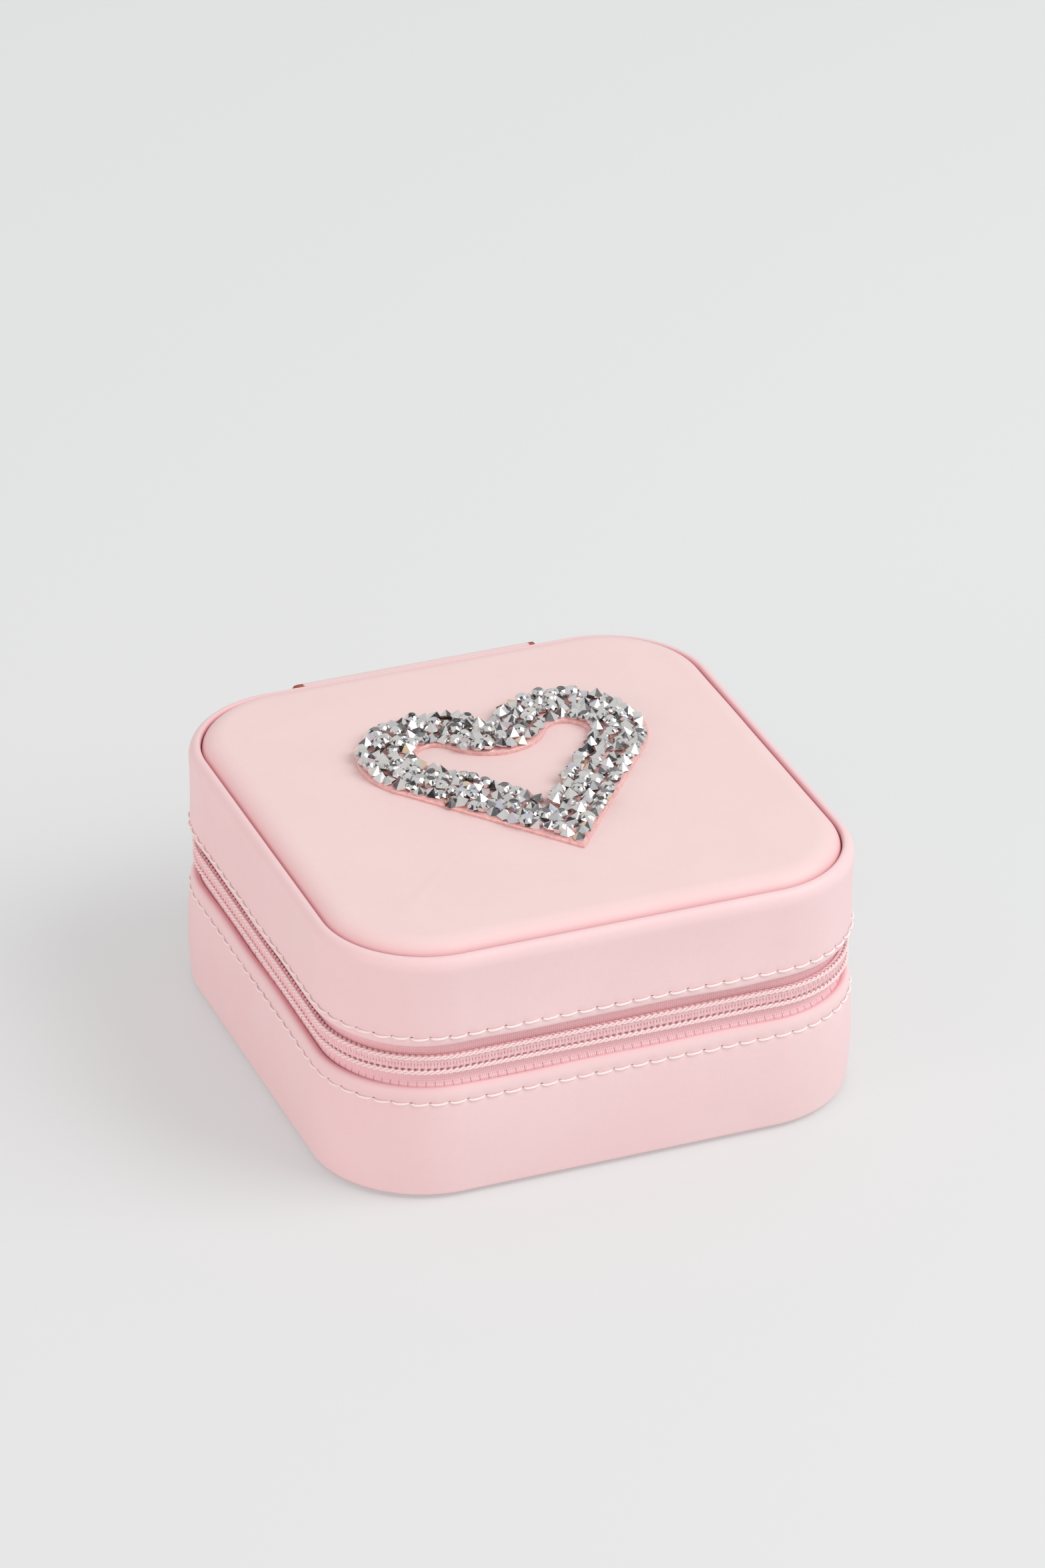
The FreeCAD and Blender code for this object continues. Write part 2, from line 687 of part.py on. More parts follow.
def heart_wire(z):
    """Outline of the whole heart at height z."""
    tx, ty, angle = heart_side()
    notch_angle = math.acos(-LOBE_X / LOBE_R)
    notch_y = LOBE_Y + LOBE_R * math.sin(notch_angle)
    middle = (angle + notch_angle) / 2
    edges = []
    for sign in (1, -1):
        at = lambda x, y: vec(HEART_X + sign * x, HEART_Y + y, z)
        bend = at(LOBE_X + LOBE_R * math.cos(middle), LOBE_Y + LOBE_R * math.sin(middle))
        edges.append(Part.Arc(at(0, notch_y), bend, at(tx, ty)).toShape())
        edges.append(Part.LineSegment(at(tx, ty), at(0, TIP_Y)).toShape())
    return Part.Wire(Part.__sortEdges__(edges))


def heart_band():
    """Face of the open heart: its outline, less the same outline drawn in by the stroke."""
    wire = heart_wire(PANEL_TOP_Z)
    return Part.Face(wire).cut(Part.Face(wire.makeOffset2D(-STROKE))).Faces[0]


def stone(x, y, pointed, high, spin):
    """One faceted stone: a point, or a flat table above a girdle."""
    low = PANEL_TOP_Z + FILM_T
    levels = [(STONE_R, low)]
    if not pointed:
        high *= TABLE_TOP_SHARE
        levels += [(STONE_R, low + GIRDLE_SHARE * high), (TABLE_SHARE * STONE_R, low + high)]

    def corner(level, n):
        r, z = levels[level]
        angle = spin + 2 * math.pi * n / STONE_SIDES
        return vec(x + r * math.cos(angle), y + r * math.sin(angle), z)

    rings = [[corner(k, n) for n in range(STONE_SIDES)] for k in range(len(levels))]
    faces = [Part.Face(Part.makePolygon(rings[0] + rings[0][:1]))]
    for lower, upper in zip(rings, rings[1:]):
        for n in range(STONE_SIDES):
            m = (n + 1) % STONE_SIDES
            faces.append(Part.Face(Part.makePolygon([lower[n], lower[m], upper[m], upper[n], lower[n]])))
    last = rings[-1]
    if pointed:
        tip = vec(x, y, low + high)
        for n in range(STONE_SIDES):
            faces.append(Part.Face(Part.makePolygon([last[n], last[(n + 1) % STONE_SIDES], tip, last[n]])))
    else:
        faces.append(Part.Face(Part.makePolygon(last + last[:1])))
    return Part.makeSolid(Part.makeShell(faces))


def stone_sites():
    """Places of the stones: rows that follow the outline, evenly spaced, none on top of another."""
    outline = heart_wire(PANEL_TOP_Z)
    sites = []
    for row in range(STONE_ROWS):
        line = outline.makeOffset2D(-STONE_R - STONE_MARGIN - row * STONE_PITCH)
        count = int(line.Length / STONE_PITCH)
        for site in line.discretize(Number=count + 1)[:-1]:
            if all(site.distanceToPoint(other) > 2 * STONE_R for other in sites):
                sites.append(site)
    return sites


def emblem_stones():
    """Stones over the film, points and tables mixed, of uneven height."""
    draw = random.Random(STONE_SEED)
    stones = []
    for site in stone_sites():
        pointed = draw.random() < POINTED_SHARE
        high = draw.uniform(STONE_LOW, STONE_HIGH)
        spin = draw.uniform(0, math.pi / STONE_SIDES)
        stones.append(stone(site.x, site.y, pointed, high, spin))
    return Part.makeCompound(stones)


def emblem_nodes():
    film = heart_band().extrude(vec(0, 0, FILM_T))
    return {"emblem_backing": film, "emblem_stones": emblem_stones()}


def main():
    os.makedirs("parts", exist_ok=True)
    nodes = {}
    for group in (base_nodes, ring_rolls, dividers, lid_nodes, zip_nodes, slider_nodes, hinge_nodes,
                  emblem_nodes):
        nodes.update(group())
    for name, shape in nodes.items():
        solids = shape.Solids
        valid = all(solid.isValid() and solid.Volume > 0 for solid in solids)
        print("%-20s %3d solids %9.1f mm3 %s" % (name, len(solids), shape.Volume, "ok" if valid else "BAD"))
        shape.exportStep("parts/%s.step" % name)


main()
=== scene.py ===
"""Looks of a square zip-round jewellery case in pale pink leather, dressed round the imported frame.

Metres throughout, but millimetres in UV maps. A wall's layers are given as depths, inwards from the
outside of the leather. A place round the case is an arc length along its outside, anticlockwise from
the middle of the right side, so that a profile of (depth, z) can be carried round it.
"""
import json
import math
from functools import partialmethod

import bmesh
import bpy
import numpy as np
from mathutils import Matrix, Vector


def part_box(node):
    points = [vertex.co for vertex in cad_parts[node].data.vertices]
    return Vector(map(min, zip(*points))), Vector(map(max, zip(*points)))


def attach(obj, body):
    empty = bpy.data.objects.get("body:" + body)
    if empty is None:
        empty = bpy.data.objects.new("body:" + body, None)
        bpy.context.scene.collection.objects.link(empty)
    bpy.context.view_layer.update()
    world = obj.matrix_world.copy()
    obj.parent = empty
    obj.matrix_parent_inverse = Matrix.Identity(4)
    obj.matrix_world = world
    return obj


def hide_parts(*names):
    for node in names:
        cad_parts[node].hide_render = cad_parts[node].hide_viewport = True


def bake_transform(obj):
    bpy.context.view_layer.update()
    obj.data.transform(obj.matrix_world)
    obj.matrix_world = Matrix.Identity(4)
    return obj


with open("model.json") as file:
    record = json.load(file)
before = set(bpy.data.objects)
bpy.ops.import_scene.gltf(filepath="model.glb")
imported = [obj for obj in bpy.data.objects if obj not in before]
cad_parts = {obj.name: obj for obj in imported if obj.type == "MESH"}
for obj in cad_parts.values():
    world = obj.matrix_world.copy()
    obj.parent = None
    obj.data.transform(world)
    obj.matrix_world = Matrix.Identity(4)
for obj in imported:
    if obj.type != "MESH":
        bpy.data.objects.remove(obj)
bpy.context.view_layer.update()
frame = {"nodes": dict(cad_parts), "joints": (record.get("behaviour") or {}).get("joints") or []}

MM = 0.001
TURN = 2 * math.pi
SCENE = bpy.context.scene
DRAW = np.random.default_rng(7)

# Sizes read from the frame
LID_LOW, LID_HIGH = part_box("lid_side_skin")
BASE_LOW, BASE_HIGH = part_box("base_side_skin")
PANEL_LOW, PANEL_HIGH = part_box("lid_top_panel")
STRAP_LOW, STRAP_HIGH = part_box("hinge_strap")
CLOTH_LOW, CLOTH_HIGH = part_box("hinge_cloth")
FILM_LOW, FILM_HIGH = (corner.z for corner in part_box("emblem_backing"))
TAPE_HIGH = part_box("zip_tape_lid")[1]
END_STOP_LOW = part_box("zip_end_stop_lid")[0]
HINGE = next(j for j in frame["joints"] if j["name"] == "lid_hinge")["pos_m"]
HALF = LID_HIGH.x
RIM_TOP = LID_HIGH.z
LID_EDGE = LID_LOW.z
BASE_EDGE = BASE_HIGH.z
FOOT = BASE_LOW.z
ZIP_Z = HINGE[2]
CORNER_R = 20.5 * MM
STRAIGHT = HALF - CORNER_R
QUARTER = 2 * STRAIGHT + CORNER_R * math.pi / 2
LENGTH = 4 * QUARTER
BACK_MIDDLE = QUARTER

# Leather
LEATHER_T = 1.0 * MM
HEM_T = 2.0 * MM
HEM_DEEP = 6.0 * MM
HEM_ROLL = 2.3 * MM
RIM_W = 2.2 * MM
RIM_DEEP = 4.2 * MM
RIM_INNER_R = 0.55 * MM
RIM_CREST = RIM_W - RIM_INNER_R
RIM_FOLD = 2.4 * MM
TURN_UNDER = 9.0 * MM
FOOT_R = 0.6 * MM
BOTTOM_R = 0.25 * MM
BOTTOM_RING = 4.0 * MM
BOTTOM_STEP = 2.0 * MM
SKIN_STEP = 0.42 * MM
BASE_PUFF = 0.55 * MM
LID_PUFF = -0.15 * MM
EDGE_WAVER = 0.22 * MM
FACE_WAVER = 0.16 * MM
WAVER_REACH = 4 * MM
WAVER_TURNS = np.array([3, 5, 9, 14])
WAVER_PHASES = np.array([0.3, 1.7, 2.9, 4.1])
PEBBLE = 0.42 * MM
PEBBLE_HIGH = 0.035 * MM
# Painted shade: a deep pink laid on the leather in its grooves and hems, where shade falls
PAINTED_SHADE_SHARE = 0.6
BASE_PAINTED_SHADE = (0.25 * MM, 0.9 * MM)
LID_PAINTED_SHADE = (0.4 * MM, 0.6 * MM)
PAINTED_SHADE_PINK = (0.82, 0.34, 0.39)

# Padded top
PANEL_EDGE_D = HALF - PANEL_HIGH.x + 0.06 * MM
PANEL_ROLL = 4.2 * MM
PANEL_RISE = 3.05 * MM
PANEL_CROWN = 0.3 * MM
PANEL_FOOT = PANEL_HIGH.z - PANEL_CROWN - PANEL_RISE
PANEL_TOP = PANEL_HIGH.z - 0.02 * MM
PANEL_DOME = 19.0 * MM
PANEL_RINGS = 15.0 * MM
PANEL_STEP = 1.0 * MM
PANEL_SKIRT = 1.0 * MM
PANEL_WAVER = 0.06 * MM
# How far the painted shade at the groove reaches up the padded top
PANEL_SHADE_REACH = 0.8 * MM

# Seams
STITCH_PITCH = 3.4 * MM
STITCH_LONG = 2.95 * MM
STITCH_SLACK = 0.05 * MM
THREAD_R = 0.21 * MM
LID_ROW = LID_EDGE + 1.9 * MM
BASE_ROW = BASE_EDGE - 2.9 * MM
SEAM_BAND = 2 * MM
SEAM_MARGIN = 1.2 * MM
SEAM_FROM = BACK_MIDDLE + STRAP_HIGH.x + SEAM_MARGIN
SEAM_TO = BACK_MIDDLE + LENGTH - STRAP_HIGH.x - SEAM_MARGIN
STITCHES = round((SEAM_TO - SEAM_FROM) / STITCH_PITCH)
SEAM_STEP = (SEAM_TO - SEAM_FROM) / STITCHES
PUCKER_DEEP = 0.2 * MM
PUCKER_WIDE = 0.75 * MM
# Needle holes: painted shade in small ovals along each seam
HOLE_UP = 0.14 * MM
HOLE_LONG = 1.7
HOLE_SHADE = (0.30, 0.11, 0.11)

# Zip tapes
TAPE_D = HALF - TAPE_HIGH.x
TAPE_T = 0.5 * MM
TAPE_SHORT = 20.0 * MM
TAPE_FROM = BACK_MIDDLE + TAPE_SHORT
TAPE_TO = BACK_MIDDLE + LENGTH - TAPE_SHORT
TAPE_ROWS = np.array([0, 1.6, 2.4, 2.7, 3.0, 3.3, 3.6, 3.9, 4.2, 5.0]) * MM
RIB_PITCH = 0.37 * MM
RIB_HIGH = 0.12 * MM
RIB_FROM = 2.0 * MM
RIB_EASE = 0.8 * MM
LEAN_FROM = 3.0 * MM
LEAN_TO = 4.5 * MM
LEAN_END = 5.5 * MM
TAPE_LEAN = 1.0 * MM
# Slots: painted shade between groups of ribs at the lower tape's edge
SLOT_PITCH = 1.67 * MM
SLOT_TOP = BASE_EDGE + 0.75 * MM
SLOT_SHADE = (0.45, 0.13, 0.15)

# Zip chain
CHAIN_FROM = BACK_MIDDLE + 28.0 * MM
CHAIN_TO = LENGTH + END_STOP_LOW.y - 0.3 * MM
CHAIN_GAP = 1.0 * MM
TAPES_MEET = 0.06 * MM
MEET_BEFORE = 1.0 * MM
MEET_AFTER = 2.5 * MM
MEET_EASE = 1.5 * MM
COIL_PITCH = 1.18 * MM
COIL_HEAD = 0.6 * MM
COIL_HEEL = 1.5 * MM
COIL_D = TAPE_D - 0.62 * MM
COIL_HALF = 0.34 * MM
HEEL_TURN = math.radians(70)
LOOP_POINTS = 14
OFF_LEVEL = 0.02
WIRE_R = 0.27 * MM
CORD_D = TAPE_D - 0.8 * MM
CORD_UP = 0.06 * MM
CORD_RADII = (0.28 * MM, 0.44 * MM)
SEWING_FROM = CHAIN_FROM + 0.5 * MM
SEWING_LENGTH = CHAIN_TO - CHAIN_FROM - 1.5 * MM
SEWING_PITCH = 2.3 * MM
SEWING_R = 0.2 * MM
SEWING_UP = 1.42 * MM
SEWING_D = TAPE_D - 1.28 * MM
SEWING_RADII = (0.17 * MM, 0.22 * MM)

# Hinge
STRAP_LIP = 0.4 * MM
END_TAPER = 1.2 * MM
RAW_EDGE = 1.1 * MM
RAW_EASE = 0.3 * MM

# Emblem, as in the frame's own heart
HEART = np.array([2.0, 3.0]) * MM
LOBE_R = 14.6 * MM
LOBE_X = 12.4 * MM
LOBE_Y = 9.4 * MM
TIP_Y = -29.0 * MM
HEART_POINTS = 60
FILM_R = 0.18 * MM
FILM_INSET = 0.02 * MM
STONE_ROWS = 4
STONE_PITCH = 2.6 * MM
STONE_EDGE = 1.45 * MM
STONE_ALONG = 0.8 * STONE_PITCH
STONE_CLEAR = 0.7 * STONE_PITCH
STROKE = 2 * STONE_EDGE + (STONE_ROWS - 1) * STONE_PITCH
STONE_RADII_MM = (1.25, 1.6)
STONE_STRAY = 0.2 * MM
STONE_SINK = 0.1 * MM
STONE_LIFT_MM = 0.5
# Share of the stones' facets given a painted dark reflection
PAINTED_DARK_SHARE = 0.27

# Inside of the base
HOLLOW_D = 6.0 * MM
ROLL_ROOM = 0.3 * MM
ROLL_WAIST, ROLL_CROWN = 0.42, 0.58
ROLL_END_UP = 0.36

# Camera, solved from the photograph's edges
TARGET = Vector((16.19, 37.37, 25.86)) * MM
DISTANCE = 1284.3 * MM
AZIMUTH, ELEVATION, TWIST = (math.radians(a) for a in (-22.29, 29.86, 0.72))
FOCAL_PX, LONG_SIDE_PX, SENSOR = 10514.0, 2352, 36.0

# Studio
FLOOR_HALF = 6.0
LIGHTS_AIM = Vector((0, 0, 20 * MM))


# Meshes from grids

def add_object(name, data):
    item = bpy.data.objects.new(name, data)
    SCENE.collection.objects.link(item)
    return item


def new_piece(name, points, faces, uv=None, smooth=True):
    """Object at the origin from an array or grid of points, and arrays of faces of one size each."""
    mesh = bpy.data.meshes.new(name)
    points = np.reshape(points, (-1, 3))
    corners = np.concatenate([f.ravel() for f in faces])
    sizes = np.concatenate([np.full(len(f), f.shape[1]) for f in faces])
    starts = np.cumsum(sizes) - sizes
    mesh.vertices.add(len(points))
    mesh.vertices.foreach_set("co", points.astype(np.float32).ravel())
    mesh.loops.add(len(corners))
    mesh.loops.foreach_set("vertex_index", corners.astype(np.int32))
    mesh.polygons.add(len(sizes))
    mesh.polygons.foreach_set("loop_start", starts.astype(np.int32))
    mesh.polygons.foreach_set("use_smooth", np.full(len(sizes), smooth))
    if uv is not None:
        mesh.uv_layers.new(name="UVMap").data.foreach_set("uv", uv.astype(np.float32).ravel())
    mesh.update(calc_edges=True)
    return add_object(name, mesh)


def mark(piece, name, values, domain="POINT"):
    """Writes an attribute, one number for each point or face."""
    data = piece.data.attributes.new(name, "FLOAT", domain).data
    data.foreach_set("value", np.asarray(values, np.float32).ravel())


def sharpen(piece, degrees):
    """Keeps the edges that bend by more than this angle hard."""
    piece.data.set_sharp_from_angle(angle=math.radians(degrees))
    return piece


def grid_faces(n, m, wrap_u=False, wrap_v=False):
    """Quads between neighbours of an n by m grid, and each corner's place in the grid before wrapping."""
    rows = np.arange(n if wrap_u else n - 1)
    columns = np.arange(m if wrap_v else m - 1)
    i, j = (index.ravel() for index in np.meshgrid(rows, columns, indexing="ij"))
    across = np.c_[i, i + 1, i + 1, i]
    along = np.c_[j, j, j + 1, j + 1]
    return (across % n) * m + along % m, across, along


def end_caps(n, m):
    """The two faces that close a tube, a grid of n rings of m points."""
    ring = np.arange(m)
    return np.array([ring, (n - 1) * m + ring[::-1]])


def fan(n, m, column, middle):
    """Triangles from one column of an n by m grid, closed round n, to a middle point."""
    edge = np.arange(n) * m + column
    return np.c_[edge, np.roll(edge, -1), np.full(n, middle)]


def run_along(line):
    """Length along a line of points, up to each of them."""
    return np.concatenate([[0], np.cumsum(np.linalg.norm(np.diff(line, axis=0), axis=1))])


def on_circle(angle):
    """Points of a circle of radius 1."""
    return np.stack([np.cos(angle), np.sin(angle)], -1)


def squared(wave, power):
    """A sine or cosine pushed out to its ends by a power below 1, which squares a circle."""
    return np.sign(wave) * np.abs(wave) ** power


def plan(s):
    """Point and outward normal at arc length s: four straight sides joined by quarter circles."""
    along = s + STRAIGHT
    side = np.floor(along / QUARTER)
    local = along - side * QUARTER
    bend = np.clip((local - 2 * STRAIGHT) / CORNER_R, 0, math.pi / 2)
    x = STRAIGHT + CORNER_R * np.cos(bend)
    y = np.where(bend > 0, STRAIGHT + CORNER_R * np.sin(bend), local - STRAIGHT)
    turn = side * math.pi / 2
    point = np.stack([x * np.cos(turn) - y * np.sin(turn), x * np.sin(turn) + y * np.cos(turn)], -1)
    return point, on_circle(bend + turn)


def wall_points(s, depth, z):
    """Points at arc length s, a depth inwards and a height, of any matching shapes."""
    s, depth, z = np.broadcast_arrays(s, depth, z)
    point, normal = plan(s)
    return np.concatenate([point - normal * depth[..., None], z[..., None]], -1)


def up_to(start, end, count):
    """Evenly spaced values from start up to, and without, end."""
    return np.linspace(start, end, count, endpoint=False)


def leg(start, end, count):
    """Evenly spaced points from start up to, and without, end."""
    share = up_to(0, 1, count)[:, None]
    return np.array(start) + share * (np.array(end) - np.array(start))


def legs(*corners):
    """Legs from corner to corner, each corner given with the count of points up to the next."""
    return np.vstack([leg(a[:2], b[:2], a[2]) for a, b in zip(corners, corners[1:])])


def bow(centre, radii, start, end, count):
    """Points on an ellipse about a centre, from one angle in degrees up to, and without, another."""
    angle = np.radians(up_to(start, end, count))
    return np.array(centre) + np.array(radii) * on_circle(angle)


def closed_stations(step):
    """Arc lengths round the whole case, about a step apart."""
    return up_to(0, LENGTH, round(LENGTH / step))


def tube(path, radius, sides, level=(0.0, 0.0, 1.0)):
    """Grid of a tube: about each point of a path, a circle or, for two radii, an ellipse square to it.
    It is turned by a direction, or one for each point, that the path never runs along."""
    ahead = np.gradient(path, axis=0)
    ahead /= np.linalg.norm(ahead, axis=1)[:, None]
    across = np.cross(ahead, np.broadcast_to(level, path.shape))
    across /= np.linalg.norm(across, axis=1)[:, None]
    up = np.cross(across, ahead)
    angle = up_to(0, TURN, sides)[None, :, None]
    wide, tall = np.broadcast_to(radius, 2)
    return path[:, None] + wide * np.cos(angle) * across[:, None] + tall * np.sin(angle) * up[:, None]


def capped_tubes(name, grids):
    """Piece of separate tubes, each a grid of rings, its ends closed by flat faces."""
    points, quads, caps, uvs = [], [], [], []
    start = 0
    for grid in grids:
        n, m = grid.shape[:2]
        faces, across, along = grid_faces(n, m, wrap_v=True)
        quads.append(start + faces)
        caps.append(start + end_caps(n, m))
        uvs.append(np.stack([run_along(grid[:, 0])[across] / MM, along / m], -1).reshape(-1, 2))
        points.append(grid.reshape(-1, 3))
        start += n * m
    caps = np.vstack(caps)
    uv = np.vstack(uvs + [np.zeros((caps.size, 2))])
    return sharpen(new_piece(name, np.vstack(points), [np.vstack(quads), caps], uv), 50)


# Shader maths

class Wire:
    """One output socket of a finish. Arithmetic on it adds Math nodes."""

    def __init__(self, finish, socket):
        self.finish = finish
        self.socket = socket

    def math(self, operation, *others):
        inputs = dict(enumerate((self, *others)))
        return self.finish.node("ShaderNodeMath", {"operation": operation}, inputs)

    def __rsub__(self, other):
        return self.finish.node("ShaderNodeMath", {"operation": "SUBTRACT"}, {0: other, 1: self})

    __add__ = partialmethod(math, "ADD")
    __sub__ = partialmethod(math, "SUBTRACT")
    __mul__ = partialmethod(math, "MULTIPLY")
    __truediv__ = partialmethod(math, "DIVIDE")
    __pow__ = partialmethod(math, "POWER")

    def stretch(self, low, high):
        """The value's place between low and high, held to 0 and 1, eased at both ends."""
        settings = {"interpolation_type": "SMOOTHSTEP"}
        return self.finish.node("ShaderNodeMapRange", settings, {0: self, 1: low, 2: high})

    def mix(self, first, second):
        """Colour that is this share of the way from first to second."""
        first, second = (c if isinstance(c, Wire) else (*c, 1.0) for c in (first, second))
        return self.finish.node("ShaderNodeMix", {"data_type": "RGBA"}, {0: self, 6: first, 7: second}, 2)

    def ramp(self, stops):
        """Colour at the value's place among stops, each a place and a colour."""
        made = self.finish.node("ShaderNodeValToRGB", inputs={0: self})
        elements = made.socket.node.color_ramp.elements
        while len(elements) < len(stops):
            elements.new(1.0)
        for element, (place, colour) in zip(elements, stops):
            element.position = place
            element.color = (*colour, 1.0)
        return made

    def bump(self, distance, strength):
        """Normal of a surface that has the value for its height."""
        inputs = {"Height": self, "Distance": distance, "Strength": strength}
        return self.finish.node("ShaderNodeBump", inputs=inputs)


class Finish:
    """A material with one Principled shader."""

    def __init__(self, name, **steady):
        self.material = bpy.data.materials.new(name)
        self.material.use_nodes = True
        self.tree = self.material.node_tree
        self.shader = self.tree.nodes["Principled BSDF"]
        self.set(**steady)

    def set(self, **values):
        """Sets the shader's sockets, an underscore standing for a space, and returns the material."""
        for name, value in values.items():
            self.plug(self.shader.inputs[name.replace("_", " ")], value)
        return self.material

    def plug(self, socket, value):
        if isinstance(value, Wire):
            self.tree.links.new(value.socket, socket)
        else:
            socket.default_value = value

    def node(self, kind, settings=None, inputs=None, output=0):
        """A node of any type: its settings, then its sockets' values or wires, and the output wanted."""
        made = self.tree.nodes.new(kind)
        for name, value in (settings or {}).items():
            setattr(made, name, value)
        for name, value in (inputs or {}).items():
            self.plug(made.inputs[name], value)
        return Wire(self, made.outputs[output])

    def coords(self, kind="Object"):
        return self.node("ShaderNodeTexCoord", output=kind)

    def attribute(self, name):
        return self.node("ShaderNodeAttribute", {"attribute_name": name}, output="Fac")

    def axes(self, vector):
        """The three parts of a vector."""
        parts = self.node("ShaderNodeSeparateXYZ", inputs={0: vector})
        return [Wire(self, out) for out in parts.socket.node.outputs]

    def noise(self, size, detail=2.0, rough=0.5, where=None):
        """Noise whose features are about this size, in the coordinates' own unit."""
        inputs = {"Vector": where or self.coords(), "Scale": 1 / size, "Detail": detail, "Roughness": rough}
        return self.node("ShaderNodeTexNoise", inputs=inputs)

    def pebbles(self, size):
        """Soft round cells of about this size."""
        inputs = {"Vector": self.coords(), "Scale": 1 / size}
        return self.node("ShaderNodeTexVoronoi", {"feature": "SMOOTH_F1"}, inputs)


# Materials

def needle_holes(finish, row):
    """How far a point is inside a needle hole, small ovals along a seam, one for each stitch, where the
    hole's shade is painted.
    """
    u, _, _ = finish.axes(finish.coords("UV"))
    _, _, z = finish.axes(finish.coords())
    step = SEAM_STEP / MM
    end = (SEAM_TO - SEAM_FROM) / MM
    run = (u - SEAM_FROM / MM).math("FLOORED_MODULO", LENGTH / MM)
    beat = run / step
    along = (beat - beat.math("ROUND")) * step / HOLE_LONG
    up = (z - (row + HOLE_UP)) / MM
    distance = (along * along + up * up) ** 0.5
    sewn = 1 - run.stretch(end - 0.9, end - 0.8)
    return (1 - distance.stretch(0.06, 0.22)) * sewn


def leather(name, colour, shade, row=None):
    """Smooth satin leather: pebbles under half a millimetre wide, clouds of a deeper tint, painted shade in
    deep pink where an attribute marks a groove or hem, and a seam's needle holes in painted shade if its
    height is given."""
    finish = Finish(name, Specular_IOR_Level=0.42)
    clouds = finish.noise(14 * MM, 3.0)
    pores = finish.noise(0.9 * MM)
    painted_shade = finish.attribute("painted_shade")
    tint = (clouds * 0.7 + pores * 0.3).stretch(0.35, 0.68).mix(colour, shade)
    # Painted shade in the grooves and hems
    tint = painted_shade.mix(tint, PAINTED_SHADE_PINK)
    if row is not None:
        # Painted shade of the needle holes
        tint = needle_holes(finish, row).mix(tint, HOLE_SHADE)
    pebbles = finish.pebbles(PEBBLE)
    wrinkles = finish.noise(1.6 * MM, 4.0)
    return finish.set(
        Base_Color=tint,
        Roughness=clouds.stretch(0.2, 0.8) * 0.10 + 0.40,
        Normal=(pebbles * 0.6 + wrinkles * 0.8).bump(PEBBLE_HIGH, 0.5),
    )


def cut_leather(name, colour, shade, edge):
    """Leather strap: satin face, and a raw reddish fibre wherever an attribute marks the cut edge."""
    finish = Finish(name, Specular_IOR_Level=0.42)
    clouds = finish.noise(12 * MM, 3.0)
    fibres = finish.noise(0.25 * MM, 3.0)
    cut = finish.attribute("cut")
    face = clouds.stretch(0.35, 0.68).mix(colour, shade)
    raw = fibres.mix(edge, (edge[0] * 0.6, edge[1] * 0.45, edge[2] * 0.45))
    pebbles = finish.pebbles(PEBBLE)
    return finish.set(
        Base_Color=cut.mix(face, raw),
        Roughness=cut * 0.35 + 0.44,
        Normal=(pebbles * 0.6 + fibres * cut).bump(PEBBLE_HIGH, 0.5),
    )


def velvet(name, colour, shade):
    """Short-pile velvet: brushed patches of lighter and deeper nap over a fine speckle."""
    finish = Finish(name, Sheen_Weight=0.55, Sheen_Roughness=0.35, Specular_IOR_Level=0.2)
    finish.set(Sheen_Tint=(1.0, 0.86, 0.86, 1.0))
    brushed = finish.noise(7 * MM, 3.0)
    pile = finish.noise(0.22 * MM, 2.0, 0.7)
    return finish.set(
        Base_Color=(brushed * 0.6 + pile * 0.4).stretch(0.34, 0.66).mix(shade, colour),
        Roughness=pile * 0.15 + 0.78,
        Normal=pile.bump(0.12 * MM, 0.6),
    )


def woven(name, colour, shade, pitch, slotted=False):
    """Ribbed tape or plain cloth: ribs across the length, crossed by finer picks, on the piece's own UV,
    painted darker in the weave's grooves as shade over a random fibre tone.
    Where it is slotted, a dark slot of painted shade parts every group of ribs beside the base's hem."""
    finish = Finish(name, Specular_IOR_Level=0.25, Sheen_Weight=0.15)
    u, v, _ = finish.axes(finish.coords("UV"))
    ribs = (u * (TURN / (pitch / MM))).math("SINE")
    picks = (v * (TURN / 0.36) + ribs * 1.2).math("SINE")
    weave = ribs * 0.3 + picks * 0.2 + 0.5
    fibre = finish.noise(0.16 * MM)
    # Painted shade: the colour follows the weave's height, darker in its grooves, over random fibre tone
    face = (weave + fibre * 0.4).stretch(0.35, 1.05).mix(shade, colour)
    if slotted:
        group = u / (SLOT_PITCH / MM)
        inside = 1 - group.math("FRACT").stretch(0.06, 0.15)
        below = 1 - v.stretch(SLOT_TOP / MM - 0.2, SLOT_TOP / MM + 0.1)
        # Painted shade in the slots beside the base's hem
        face = (inside * below * 0.6).mix(face, SLOT_SHADE)
    return finish.set(
        Base_Color=face,
        Roughness=fibre * 0.2 + 0.68,
        Normal=(weave + fibre * 0.3).bump(0.06 * MM, 0.7),
    )


def twisted(name, colour, shade):
    """Spun thread: slanting plies on the piece's own UV, painted darker in their grooves as shade, a little
    fluff and a soft lustre.
    """
    finish = Finish(name, Specular_IOR_Level=0.3, Sheen_Weight=0.2)
    u, v, _ = finish.axes(finish.coords("UV"))
    ply = (u * (TURN / 0.5) + v * TURN).math("SINE") * 0.5 + 0.5
    fluff = finish.noise(0.12 * MM)
    # Painted shade: the plies are darker in their grooves
    return finish.set(
        Base_Color=(ply * 0.7 + fluff * 0.3).mix(shade, colour),
        Roughness=fluff * 0.2 + 0.5,
        Normal=ply.bump(0.05 * MM, 0.5),
    )


def nylon(name, colour, shade):
    """Drawn monofilament: semi-gloss, faintly cloudy."""
    finish = Finish(name, Specular_IOR_Level=0.5, Subsurface_Weight=0.08)
    cloud = finish.noise(0.9 * MM)
    return finish.set(
        Base_Color=cloud.stretch(0.3, 0.7).mix(colour, shade),
        Roughness=cloud * 0.15 + 0.3,
        Normal=finish.noise(0.2 * MM).bump(0.01 * MM, 0.4),
    )


